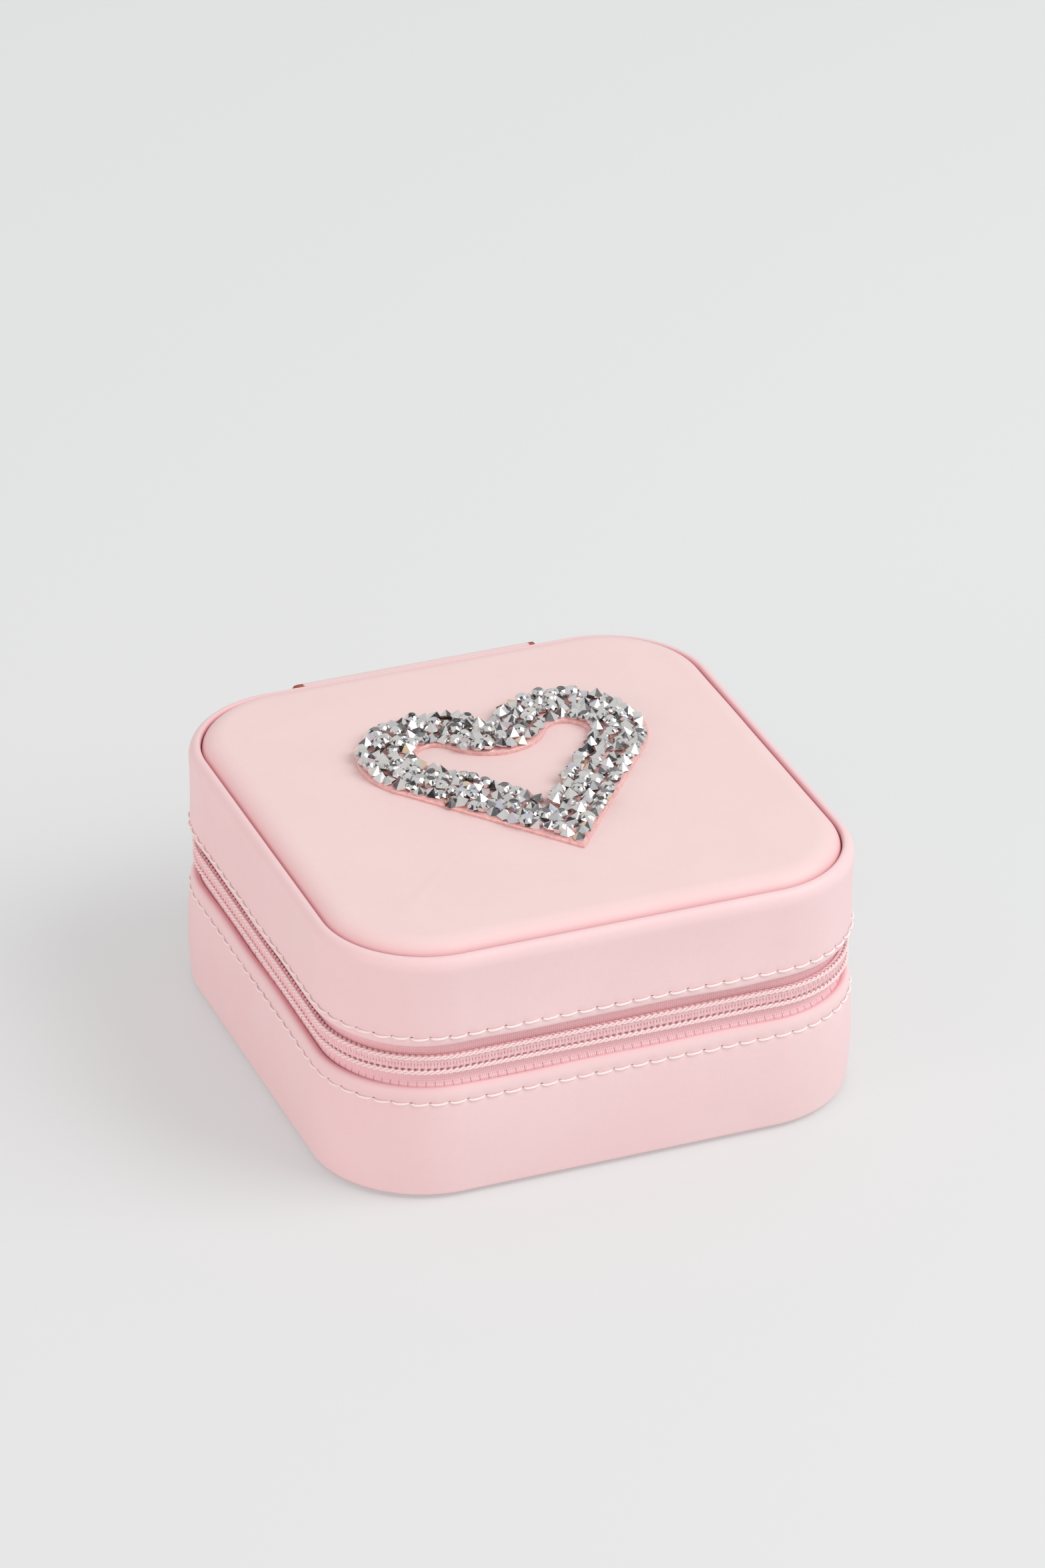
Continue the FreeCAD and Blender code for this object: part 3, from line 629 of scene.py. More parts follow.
def nickel(name):
    """Bright plated metal with tumbling marks and a few brushed hairlines."""
    finish = Finish(name, Metallic=1.0)
    marks = finish.noise(0.7 * MM, 4.0)
    x, y, z = finish.axes(finish.coords())
    slim = finish.node("ShaderNodeCombineXYZ", inputs={0: x * 12, 1: y, 2: z * 12})
    hairs = finish.noise(1.2 * MM, 3.0, where=slim)
    return finish.set(
        Base_Color=marks.mix((0.83, 0.82, 0.80), (0.70, 0.69, 0.68)),
        Roughness=hairs * 0.16 + marks * 0.10 + 0.10,
        Normal=(hairs + marks).bump(0.012 * MM, 0.35),
    )


def silvered(name):
    """Mirror glass, with the faintest smear in its gloss."""
    finish = Finish(name, Metallic=1.0, Base_Color=(0.93, 0.94, 0.95, 1.0))
    return finish.set(Roughness=finish.noise(16 * MM, 3.0).stretch(0.4, 0.9) * 0.035 + 0.012)


def clear_film(name):
    """Clear resin film over pink leather: glossy, rippled, a shade deeper than the leather; the deeper pink
    is partly painted shade between the stones.
    """
    finish = Finish(name, Specular_IOR_Level=0.6, Coat_Weight=0.6, Coat_Roughness=0.08)
    ripple = finish.noise(0.8 * MM, 3.0)
    return finish.set(
        Base_Color=ripple.stretch(0.3, 0.7).mix((0.86, 0.52, 0.50), (0.74, 0.38, 0.36)),
        Roughness=ripple * 0.2 + 0.12,
        Normal=ripple.bump(0.12 * MM, 0.5),
    )


def crystal(name):
    """Silvered crystal with painted reflections: each facet is given its own painted light or dark, a few a
    painted flash of colour.
    """
    finish = Finish(name, Metallic=0.88, Specular_IOR_Level=0.8)
    # Painted reflections and glints: a facet's value picks its light, dark or flash of colour
    glint = finish.attribute("facet").ramp([
        (0.0, (0.035, 0.034, 0.036)), (0.14, (0.14, 0.135, 0.14)), (0.30, (0.36, 0.35, 0.36)),
        (0.44, (0.62, 0.61, 0.62)), (0.58, (0.80, 0.80, 0.79)), (0.93, (0.90, 0.89, 0.87)),
        (0.955, (0.95, 0.70, 0.42)), (0.975, (0.72, 0.76, 0.93)), (1.0, (0.80, 0.58, 0.58)),
    ])
    cloud = finish.noise(0.8 * MM)
    return finish.set(
        Base_Color=(cloud.stretch(0.45, 0.75) * 0.25).mix(glint, (0.75, 0.72, 0.73)),
        Roughness=cloud * 0.08 + 0.05,
    )


def pulp(name, colour, shade, size):
    """Grey board or foam: speckled, dull."""
    finish = Finish(name, Specular_IOR_Level=0.15)
    speck = finish.noise(size, 4.0)
    return finish.set(
        Base_Color=speck.mix(colour, shade),
        Roughness=speck * 0.15 + 0.8,
        Normal=speck.bump(0.1 * MM, 0.4),
    )


def dress(piece, material):
    """Leaves a piece with this one material."""
    piece.data.materials.clear()
    piece.data.materials.append(material)


def place(piece, body, material, slot, *nodes):
    """Gives a piece its finish, rides it on a body and lets it stand for CAD nodes. Its slot is not used.
    """
    dress(piece, material)
    if body:
        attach(piece, body)
    if nodes:
        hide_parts(*nodes)
    return piece


# Leather skins

def pucker(s, z, row):
    """How far a seam draws the leather in: a groove along the row, deepest at each needle hole."""
    on_seam = ((s - SEAM_FROM) % LENGTH < SEAM_TO - SEAM_FROM).astype(float)
    beat = 0.55 + 0.45 * np.cos(TURN * (s - SEAM_FROM) / SEAM_STEP)
    return PUCKER_DEEP * on_seam * beat * np.exp(-(((z - row) / PUCKER_WIDE) ** 2))


def drift(s, wave, seed):
    """A slow hand-made waver along the wall, the sum of a few sines that close round the case."""
    turns = WAVER_TURNS + seed
    phase = WAVER_PHASES * (seed + 1)
    angle = TURN * s[..., None] / LENGTH * turns + phase
    return wave * np.sin(angle).mean(-1)


def skin_piece(name, profile, painted_shade, outer, row, puff, edge, seed):
    """A leather wall: its profile carried round the case, the outer run of it puffed out, drawn in along
    the seam and wavering a little, most of all towards the free edge. It carries the profile's painted
    shade."""
    s = closed_stations(SKIN_STEP)[:, None]
    depth, z = profile.T
    low, high = outer
    share = np.clip((z - low) / (high - low), 0, 1)
    outside = (depth < 0.4 * LEATHER_T).astype(float)
    depth = depth - outside * puff * np.sin(math.pi * share) ** 0.8
    depth = depth + outside * pucker(s, z, row)
    near = np.exp(-np.abs(z - edge) / WAVER_REACH)
    z = z + near * drift(s, EDGE_WAVER, seed)
    depth = depth + near * drift(s, FACE_WAVER, seed + 2)
    quads, across, along = grid_faces(len(s), len(profile), wrap_u=True, wrap_v=True)
    run = run_along(np.append(profile, profile[:1], 0))
    uv = np.stack([np.append(s, LENGTH)[across], run[along]], -1) / MM
    piece = new_piece(name, wall_points(s, depth, z), [quads], uv)
    mark(piece, "painted_shade", np.tile(painted_shade, len(s)))
    return sharpen(piece, 60)


def base_leather():
    """Base wall: turned under at the foot, rolled softly inwards at its hem beside the zip."""
    inner = BASE_EDGE - LEATHER_T
    hem_end = BASE_EDGE - HEM_DEEP
    profile = np.vstack([
        leg((TURN_UNDER, FOOT), (FOOT_R, FOOT), 4),
        bow((FOOT_R, FOOT + FOOT_R), (FOOT_R, FOOT_R), 270, 180, 6),
        legs((0, FOOT + FOOT_R, 12), (0, BASE_ROW - SEAM_BAND, 12), (0, BASE_EDGE - HEM_ROLL)),
        bow((HEM_T / 2, BASE_EDGE - HEM_ROLL), (HEM_T / 2, HEM_ROLL), 180, 90, 8),
        bow((HEM_T / 2, inner), (HEM_T / 2, LEATHER_T), 90, 0, 6),
        legs((HEM_T, inner, 4), (HEM_T, hem_end, 2), (LEATHER_T, hem_end, 3),
             (LEATHER_T, FOOT + LEATHER_T, 3), (TURN_UNDER, FOOT + LEATHER_T, 1), (TURN_UNDER, FOOT)),
    ])
    outer = (FOOT + FOOT_R, BASE_ROW)
    # Painted shade on the hem's inward roll, which lies in shade
    start, ease = BASE_PAINTED_SHADE
    painted_shade = PAINTED_SHADE_SHARE * np.clip((profile[:, 0] - start) / ease, 0, 1)
    return skin_piece("base_leather_wall", profile, painted_shade, outer, BASE_ROW, BASE_PUFF, BASE_EDGE, seed=1)


def lid_leather():
    """Lid wall: hemmed beside the zip, folded over at the top into a soft rim with a groove behind it."""
    rim_inner = RIM_TOP - RIM_INNER_R
    rim_foot = RIM_TOP - RIM_DEEP
    hem_end = LID_EDGE + HEM_DEEP
    profile = np.vstack([
        bow((HEM_T / 2, LID_EDGE + LEATHER_T), (HEM_T / 2, LEATHER_T), 360, 180, 12),
        legs((0, LID_EDGE + LEATHER_T, 10), (0, LID_ROW + SEAM_BAND, 12), (0, RIM_TOP - RIM_FOLD)),
        bow((RIM_CREST, RIM_TOP - RIM_FOLD), (RIM_CREST, RIM_FOLD), 180, 90, 12),
        bow((RIM_CREST, rim_inner), (RIM_INNER_R, RIM_INNER_R), 90, 0, 6),
        legs((RIM_W, rim_inner, 4), (RIM_W, rim_foot, 2), (LEATHER_T, rim_foot, 3),
             (LEATHER_T, hem_end, 2), (HEM_T, hem_end, 3), (HEM_T, LID_EDGE + LEATHER_T)),
    ])
    outer = (LID_ROW, RIM_TOP - RIM_FOLD)
    # Painted shade inside the hem and in the groove behind the rim's crest
    hem_start, ease = LID_PAINTED_SHADE
    start = np.where(profile[:, 1] < rim_foot, hem_start, RIM_CREST)
    painted_shade = PAINTED_SHADE_SHARE * np.clip((profile[:, 0] - start) / ease, 0, 1)
    return skin_piece("lid_leather_wall", profile, painted_shade, outer, LID_ROW, LID_PUFF, LID_EDGE, seed=4)


def panel_height(depth):
    """Height of the padded top at a depth: a quarter ellipse up from the groove, and a slow dome on it."""
    share = np.clip((depth - PANEL_EDGE_D) / PANEL_ROLL, 0, 1)
    far = np.clip((depth - PANEL_EDGE_D) / PANEL_DOME, 0, 1)
    return PANEL_FOOT + PANEL_RISE * np.sqrt(1 - (1 - share) ** 2) + PANEL_CROWN * (1 - (1 - far) ** 2)


def lid_panel():
    """Padded leather top: rings from the groove inwards, then the same outline drawn in to its middle."""
    s = closed_stations(PANEL_STEP)
    skirt = np.array([PANEL_LOW.z, PANEL_FOOT - PANEL_SKIRT])
    roll = PANEL_EDGE_D + (1 - np.cos(np.linspace(0, math.pi / 2, 18))) * PANEL_ROLL
    dome = np.linspace(roll[-1], PANEL_EDGE_D + PANEL_RINGS, 18)[1:]
    depth = np.concatenate([np.full(2, PANEL_EDGE_D), roll, dome])
    z = np.concatenate([skirt, panel_height(depth[2:])])
    rolled = wall_points(s[:, None], depth, z)
    rolled[..., 2] += np.where(depth > PANEL_EDGE_D, 1, 0) * drift(s, PANEL_WAVER, 3)[:, None]
    draw_in = np.linspace(1, 0, 16)[1:-1]
    flat = rolled[:, -1:] * np.array([1.0, 1.0, 0.0]) * draw_in[:, None]
    flat[..., 2] = PANEL_TOP + (rolled[:, -1:, 2] - PANEL_TOP) * draw_in ** 2
    grid = np.concatenate([rolled, flat], 1)
    n, m = grid.shape[:2]
    points = np.vstack([grid.reshape(-1, 3), [[0, 0, grid[:, -1, 2].mean()]]])
    quads = grid_faces(n, m, wrap_u=True)[0]
    piece = new_piece("lid_padded_panel", points, [quads, fan(n, m, m - 1, n * m)])
    # Painted shade at the panel's groove, fading up its roll
    painted_shade = np.zeros((n, m))
    painted_shade[:, :len(depth)] = PAINTED_SHADE_SHARE * np.exp((PANEL_EDGE_D - depth) / PANEL_SHADE_REACH)
    mark(piece, "painted_shade", np.append(painted_shade, 0))
    wall = piece.modifiers.new("thickness", "SOLIDIFY")
    wall.thickness = 0.9 * LEATHER_T
    wall.offset = -1
    return piece


def bottom_leather():
    """Underside: a flat leather sheet, its cut edge rounded, drawn as rings to the middle."""
    low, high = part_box("base_bottom_skin")
    s = closed_stations(BOTTOM_STEP)
    depth = HALF - high.x + np.array([BOTTOM_RING, BOTTOM_R, 0.0, 0.0, BOTTOM_R, BOTTOM_RING])
    z = np.array([high.z, high.z, high.z - BOTTOM_R, low.z + BOTTOM_R, low.z, low.z])
    edge = wall_points(s[:, None], depth, z)
    shrink = np.linspace(1, 0, 8)[1:-1]
    inwards = np.c_[shrink, shrink, np.ones_like(shrink)]
    upper = edge[:, :1] * inwards
    lower = edge[:, -1:] * inwards
    grid = np.concatenate([upper[:, ::-1], edge, lower], 1)[:, ::-1]
    n, m = grid.shape[:2]
    quads = grid_faces(n, m, wrap_u=True)[0]
    under = fan(n, m, 0, n * m)[:, (1, 0, 2)]
    over = fan(n, m, m - 1, n * m + 1)
    points = np.vstack([grid.reshape(-1, 3), [[0, 0, low.z]], [[0, 0, high.z]]])
    return new_piece("base_bottom_leather", points, [quads, under, over])


def stitches(name, row):
    """A row of stitches: each a thread that leaves its hole, drops a little, and slants up to the next."""
    share = np.linspace(0, 1, 9)
    rise = (0.20 * np.exp(-share / 0.08) - 0.16 + 0.20 * share) * MM
    depth = (0.22 - 0.42 * np.sin(math.pi * share) ** 0.5) * MM
    taper = 0.55 + 0.45 * np.sin(math.pi * share) ** 0.4
    grids = []
    for n in range(STITCHES):
        slack = DRAW.normal(0, STITCH_SLACK)
        s = SEAM_FROM + n * SEAM_STEP + share * STITCH_LONG
        path = wall_points(s, depth, row + slack + rise)
        grid = tube(path, 1.0, 6) - path[:, None]
        grids.append(path[:, None] + grid * (THREAD_R * taper)[:, None, None])
    return capped_tubes(name, grids)


# Zip

def tape_edge(s):
    """Distance of a tape's edge from the middle of the zip: half the chain's gap beside the chain,
    easing to hardly any past its ends, where the two tapes meet."""
    inside = np.minimum(s - CHAIN_FROM + MEET_BEFORE, CHAIN_TO + MEET_AFTER - s)
    share = np.clip(inside / MEET_EASE, 0, 1)
    return TAPES_MEET + (CHAIN_GAP / 2 - TAPES_MEET) * share ** 2 * (3 - 2 * share)


def zip_tape(name, up):
    """Ribbed tape: a thin slab whose face rises and falls with each rib. Clear of the slider's rails it
    leans out to the leather's edge, most along the front, and back again behind the leather."""
    near = ZIP_Z + up * CHAIN_GAP / 2
    far = TAPE_HIGH.z if up > 0 else 2 * ZIP_Z - TAPE_HIGH.z
    heights = np.append(near + up * TAPE_ROWS, far)
    s = np.arange(TAPE_FROM, TAPE_TO, RIB_PITCH / 4)
    rib = 0.5 + 0.5 * np.cos(TURN * s / RIB_PITCH)
    away = np.abs(heights - ZIP_Z)
    rise = np.clip((away - LEAN_FROM) / (LEAN_TO - LEAN_FROM), 0, 1) ** 1.3
    fall = np.clip((LEAN_END - away) / (LEAN_END - LEAN_TO), 0, 1)
    facing = np.clip(-plan(s)[1][:, 1:], 0, 1)
    lean = TAPE_LEAN * rise * fall * (0.15 + 0.85 * facing ** 2)
    ribbed = RIB_HIGH * np.clip((away - RIB_FROM) / RIB_EASE, 0.25, 1)
    outside = TAPE_D - lean - ribbed * rib[:, None]
    inside = np.full_like(outside, TAPE_D + TAPE_T)
    order = slice(None) if up > 0 else slice(None, None, -1)
    depth = np.concatenate([outside[:, order], inside[:, order][:, ::-1]], 1)
    z = np.concatenate([heights[order], heights[order][::-1]])
    rows = np.where(z == near, ZIP_Z + up * tape_edge(s)[:, None], z)
    n, m = depth.shape
    quads, across, along = grid_faces(n, m, wrap_v=True)
    uv = np.stack([s[across], np.append(z, z[0])[along]], -1) / MM
    uv = np.vstack([uv.reshape(-1, 2), np.zeros((2 * m, 2))])
    grid = wall_points(s[:, None], depth, rows)
    return sharpen(new_piece(name, grid, [quads, end_caps(n, m)], uv), 65)


def zip_coil(name, up):
    """Half of the chain: one nylon wire wound in upright loops round a flat cord. It steps on by a pitch
    only at the heel of each loop, beside the tape, so that its heads lie between the other half's."""
    turns = int((CHAIN_TO - CHAIN_FROM) / COIL_PITCH) - 1
    angle = np.linspace(0, TURN * turns, turns * LOOP_POINTS + 1)
    loop = np.round(angle / TURN)
    heel = (angle - loop * TURN) / HEEL_TURN
    step = 0.5 * np.sin(np.clip(heel, -1, 1) * math.pi / 2)
    s = CHAIN_FROM + COIL_PITCH * (0.75 + 0.25 * up + loop + step)
    middle = (COIL_HEEL - COIL_HEAD) / 2
    half = (COIL_HEEL + COIL_HEAD) / 2
    path = wall_points(s, COIL_D - COIL_HALF * np.sin(angle), ZIP_Z + up * (middle + half * np.cos(angle)))
    normal = plan(s)[1]
    along = np.c_[-normal[:, 1], normal[:, 0], np.full(len(s), OFF_LEVEL)]
    run = np.arange(s[0], s[-1], 1.0 * MM)
    cord = wall_points(run, CORD_D, ZIP_Z + up * (CORD_UP + CORD_RADII[1]))
    return capped_tubes(name, [tube(path, WIRE_R, 8, along), tube(cord, CORD_RADII, 8)])


def sewing_thread(name, up):
    """Thread that sews the coil to its tape: two strands twisted round each other along the chain."""
    s = np.linspace(SEWING_FROM, SEWING_FROM + SEWING_LENGTH, int(SEWING_LENGTH / SEWING_PITCH * 16))
    turn = TURN * s / SEWING_PITCH
    deep, tall = SEWING_RADII
    grids = []
    for phase in (0, math.pi):
        z = ZIP_Z + up * SEWING_UP + tall * np.cos(turn + phase)
        depth = SEWING_D + deep * np.sin(turn + phase)
        grids.append(tube(wall_points(s, depth, z), SEWING_R, 6))
    return capped_tubes(name, grids)


# Hinge

def upright_slab(low, high, rows, columns, square):
    """Grid of an upright strip across the back: a ring, nearly a rectangle, carried up its height and
    thinned towards both ends. With it come each column's place across and out, and each row's thinning."""
    middle = (low + high) / 2
    half = (high - low) / 2
    angle = up_to(0, TURN, columns) + math.pi / columns
    across = squared(np.cos(angle), square)
    out = squared(np.sin(angle), square)
    share = np.linspace(0, 1, rows)
    corner = 1 - 0.035 * np.abs(2 * share - 1) ** 40
    from_end = np.minimum(share, 1 - share) * 2 * half.z
    thin = np.clip(0.55 + from_end / END_TAPER, 0, 1)
    x = middle.x + half.x * across * corner[:, None]
    y = middle.y + half.y * out * thin[:, None]
    z = np.repeat((low.z + share * 2 * half.z)[:, None], columns, 1)
    return np.stack([x, y, z], -1), across, out, thin


def slab_faces(n, m):
    """All faces of a slab's grid: its sides, and quads between opposite points of the ring at its ends."""
    sides = grid_faces(n, m, wrap_v=True)[0]
    k = np.arange(m // 2 - 1)
    strip = np.c_[k, k + 1, m - 2 - k, m - 1 - k]
    return np.vstack([sides[:, ::-1], strip[:, ::-1], strip + (n - 1) * m])


def hinge_strap():
    """Leather strap on the back, reaching from the base up to the lid. Towards its top its inner
    face follows the elliptical shoulder of the lid and its outer face leans in less."""
    top = STRAP_HIGH + Vector((0, 0, STRAP_LIP))
    grid, across, out, thin = upright_slab(STRAP_LOW, top, rows=150, columns=96, square=0.16)
    n, m = grid.shape[:2]
    climb = np.clip((grid[..., 2] - (RIM_TOP - RIM_FOLD)) / RIM_FOLD, 0, 1)
    shoulder = RIM_CREST * (1 - np.sqrt(1 - climb ** 2))
    half = (STRAP_HIGH.y - STRAP_LOW.y) / 2
    grid[..., 1] -= shoulder * (0.83 - 0.17 * out) + half * (1 - thin)[:, None]
    piece = new_piece("hinge_strap_leather", grid, [slab_faces(n, m)])
    cut = np.clip((np.abs(across) * STRAP_HIGH.x - (STRAP_HIGH.x - RAW_EDGE)) / RAW_EASE, 0, 1)
    mark(piece, "cut", np.tile(cut, n))
    return sharpen(piece, 50)


def hinge_cloth():
    """Woven cloth behind the strap, closing the gap at the back of the zip."""
    grid = upright_slab(CLOTH_LOW, CLOTH_HIGH, rows=60, columns=48, square=0.2)[0]
    faces = slab_faces(*grid.shape[:2])
    points = grid.reshape(-1, 3)
    uv = points[faces][..., (0, 2)].reshape(-1, 2) / MM
    return new_piece("hinge_inner_cloth", points, [faces], uv)


# Emblem

def heart_line(inset):
    """Closed outline of the heart drawn in by an inset: an arc about the notch, an arc about the lobe
    and a straight side, then the same mirrored."""
    reach = math.hypot(LOBE_X, TIP_Y - LOBE_Y)
    side = math.atan2(TIP_Y - LOBE_Y, -LOBE_X) + math.acos(LOBE_R / reach)
    notch = math.acos(-LOBE_X / LOBE_R)
    notch_y = LOBE_Y + LOBE_R * math.sin(notch)
    round_notch = up_to(-math.pi / 2, notch - math.pi, HEART_POINTS // 2)
    first = np.array([0, notch_y]) + inset * on_circle(round_notch)
    round_lobe = up_to(notch, side, 2 * HEART_POINTS)
    lobe = np.array([LOBE_X, LOBE_Y])
    second = lobe + (LOBE_R - inset) * on_circle(round_lobe)
    leave = lobe + (LOBE_R - inset) * on_circle(side)
    tip = np.array([0, TIP_Y - inset / math.sin(side)])
    right = np.vstack([first, second, leg(leave, tip, HEART_POINTS), tip[None]])
    left = right[1:-1][::-1] * np.array([-1, 1])
    return np.vstack([right, left]) + HEART


def emblem_film():
    """Clear film under the stones: the open heart's band as a slab with rounded edges."""
    low, soft, high = FILM_LOW, FILM_HIGH - FILM_R, FILM_HIGH
    inner = STROKE - FILM_INSET
    insets = (FILM_INSET, FILM_INSET, FILM_R, STROKE / 2, STROKE - FILM_R, inner, inner)
    lines = []
    for inset, z in zip(insets, (low, soft, high, high, high, soft, low)):
        line = heart_line(inset)
        lines.append(np.c_[line, np.full(len(line), z)])
    grid = np.stack(lines, 1)
    quads = grid_faces(*grid.shape[:2], wrap_u=True, wrap_v=True)[0]
    return sharpen(new_piece("emblem_clear_film", grid, [quads[:, ::-1]]), 50)


def evenly(line, pitch, shift):
    """An even number of points, about a pitch apart along a closed line, begun a share of a pitch in."""
    loop = np.append(line, line[:1], 0)
    run = run_along(loop)
    count = 2 * int(run[-1] / pitch / 2)
    at = (np.arange(count) + shift) / count * run[-1]
    return np.c_[np.interp(at, run, loop[:, 0]), np.interp(at, run, loop[:, 1])]


def spread_sites():
    """Stone places: rows along the heart's outline, less any that crowds an earlier one."""
    kept = []
    for row in range(STONE_ROWS):
        line = heart_line(STONE_EDGE + row * STONE_PITCH)
        for site in evenly(line, STONE_ALONG, 0.5 * (row % 2)):
            if all(np.hypot(*(site - other)) > STONE_CLEAR for other in kept):
                kept.append(site)
    return np.array(kept)


def ring_of(count, radius, height, turn=0.0):
    """Points of a level ring, turned by a share of their spacing."""
    angle = TURN * (np.arange(count) + turn) / count
    return np.c_[radius * on_circle(angle), np.full(count, height)]


def pointed_stone(sides):
    """Stone glued table down: a low girdle and one tall facet per side, up to a point."""
    points = np.vstack([ring_of(sides, 0.92, 0.0), ring_of(sides, 1.0, 0.2), [[0, 0, 1.12]]])
    n = np.arange(sides)
    k = (n + 1) % sides
    skirt = np.c_[n, k, sides + k, sides + n]
    tall = np.c_[sides + n, sides + k, np.full(sides, 2 * sides)]
    return points, [skirt, tall, n[None, ::-1]]


def table_stone(sides):
    """Stone set table up: a girdle, a band of kite and star facets, and a flat table."""
    points = np.vstack([
        ring_of(sides, 0.80, 0.0), ring_of(sides, 1.0, 0.52), ring_of(sides, 0.80, 0.80, 0.5),
        ring_of(sides, 0.52, 1.0),
    ])
    n = np.arange(sides)
    k = (n + 1) % sides
    skirt = np.c_[n, k, sides + k, sides + n]
    lower = np.c_[sides + n, sides + k, 2 * sides + n]
    kite = np.c_[sides + k, 3 * sides + k, 2 * sides + n]
    kite_left = np.c_[sides + k, 2 * sides + k, 3 * sides + k]
    star = np.c_[2 * sides + n, 3 * sides + k, 3 * sides + n]
    return points, [skirt, np.vstack([lower, kite, kite_left, star]), (3 * sides + n)[None], n[None, ::-1]]


def emblem_stones():
    """All stones as one piece: points and tables mixed, each turned, leaned and sized at random."""
    kinds = [pointed_stone(5), pointed_stone(7), table_stone(8)]
    shares = (0.38, 0.2, 0.42)
    leans = (0.36, 0.36, 0.16)
    points, by_size, facets = [], {}, {}
    start = 0
    for x, y in spread_sites():
        kind = DRAW.choice(3, p=shares)
        shape, faces = kinds[kind]
        radius = DRAW.uniform(*STONE_RADII_MM) * MM
        turn = DRAW.uniform(0, TURN)
        lean = DRAW.normal(0, leans[kind])
        toward = DRAW.uniform(0, TURN)
        tilt = Matrix.Rotation(lean, 3, Vector((math.cos(toward), math.sin(toward), 0)))
        spin = np.array(tilt @ Matrix.Rotation(turn, 3, "Z"))
        stray = DRAW.normal(0, STONE_STRAY, 2)
        z = FILM_HIGH - STONE_SINK + DRAW.uniform(0, STONE_LIFT_MM) * MM
        points.append(np.array([x + stray[0], y + stray[1], z]) + radius * shape @ spin.T)
        for group in faces:
            size = group.shape[1]
            by_size.setdefault(size, []).append(group + start)
            # Painted reflections: each facet gets its own light or dark
            light = DRAW.uniform(0.46, 1, len(group))
            dark = DRAW.uniform(0, 0.3, len(group))
            facets.setdefault(size, []).append(np.where(DRAW.random(len(group)) < PAINTED_DARK_SHARE, dark, light))
        start += len(shape)
    sizes = sorted(by_size)
    faces = [np.vstack(by_size[k]) for k in sizes]
    piece = new_piece("emblem_crystals", np.vstack(points), faces, smooth=False)
    mark(piece, "facet", np.concatenate([np.concatenate(facets[k]) for k in sizes]), "FACE")
    return piece


# Inside

def into_hollow(points):
    """Points outside the base's rounded-square hollow are brought back to its wall, less a little room."""
    half = HALF - HOLLOW_D - ROLL_ROOM
    radius = CORNER_R - HOLLOW_D - ROLL_ROOM
    square = np.abs(points[:, :2]) - (half - radius)
    over = np.maximum(square, 0)
    distance = np.hypot(over[:, 0], over[:, 1])
    share = np.minimum(1, radius / np.maximum(distance, 1e-9))
    corner = (square > 0).all(1)
    fixed = np.sign(points[:, :2]) * (half - radius + over * share[:, None])
    points[corner, :2] = fixed[corner]
    return points


def ring_roll(number):
    """Velvet roll: a D-shaped section with a flat foot, carried across and drawn in round its ends."""
    low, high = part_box("ring_roll_%d" % number)
    around = up_to(0, TURN, 56)
    above = np.maximum(np.sin(around), 0)
    below = np.abs(np.minimum(np.sin(around), 0))
    side = squared(np.cos(around), 0.72) * ((high.y - low.y) / 2)
    rise = ROLL_WAIST + ROLL_CROWN * above ** 0.95 - ROLL_WAIST * below ** 0.35
    ends = np.linspace(-1, 1, 61)
    eased = np.sin(ends * math.pi / 2)
    shrink = np.maximum((1 - np.abs(eased) ** 7) ** (1 / 2.6), 0.02)
    dent = 1 - 0.018 * np.sin(ends * 5.1 + number) - 0.012 * np.sin(ends * 11.7 + 2 * number)
    x = (low.x + high.x) / 2 + (high.x - low.x) / 2 * eased
    y = (low.y + high.y) / 2 + side * (0.35 + 0.65 * shrink)[:, None]
    share = ROLL_END_UP + (rise - ROLL_END_UP) * (shrink * dent)[:, None]
    z = np.clip(low.z + (high.z - low.z) * share, low.z, high.z)
    grid = np.stack([np.repeat(x[:, None], len(around), 1), y, z], -1)
    n, m = grid.shape[:2]
    faces = [grid_faces(n, m, wrap_v=True)[0][:, (0, 3, 2, 1)], end_caps(n, m)[:, ::-1]]
    return new_piece("velvet_roll_%d" % number, into_hollow(grid.reshape(-1, 3)), faces)


def soften(name, node, rounding, body, material, slot):
    """Places a copy of a CAD node, without the frame's marks, flat triangles joined and edges rounded."""
    source = frame["nodes"][node]
    piece = source.copy()
    piece.data = source.data.copy()
    piece.name = name
    piece.parent = None
    for key in list(piece.keys()):
        del piece[key]
    SCENE.collection.objects.link(piece)
    work = bmesh.new()
    work.from_mesh(piece.data)
    bmesh.ops.remove_doubles(work, verts=work.verts, dist=0.002 * MM)
    bmesh.ops.dissolve_limit(work, angle_limit=math.radians(0.6), verts=work.verts, edges=work.edges)
    work.to_mesh(piece.data)
    work.free()
    piece.data.polygons.foreach_set("use_smooth", np.ones(len(piece.data.polygons), bool))
    bevel = piece.modifiers.new("rounded", "BEVEL")
    bevel.width = rounding
    bevel.segments = 3
    bevel.limit_method = "ANGLE"
    bevel.angle_limit = math.radians(40)
    bevel.harden_normals = True
    place(piece, body, material, slot, node)


# Scene

def camera():
    """A long lens, looking down at the case, turned a little about its axis."""
    flat = math.cos(ELEVATION)
    back = Vector((math.sin(AZIMUTH) * flat, -math.cos(AZIMUTH) * flat, math.sin(ELEVATION)))
    level = Vector((math.cos(AZIMUTH), math.sin(AZIMUTH), 0))
    upright = back.cross(level)
    right = level * math.cos(TWIST) + upright * math.sin(TWIST)
    up = upright * math.cos(TWIST) - level * math.sin(TWIST)
    data = bpy.data.cameras.new("camera")
    data.sensor_width = SENSOR
    data.lens = FOCAL_PX / LONG_SIDE_PX * SENSOR
    data.clip_start = 0.05
    data.clip_end = 50
    item = add_object("camera", data)
    turned = Matrix((right, up, back)).transposed().to_4x4()
    item.matrix_world = Matrix.Translation(TARGET + back * DISTANCE) @ turned
    SCENE.camera = item


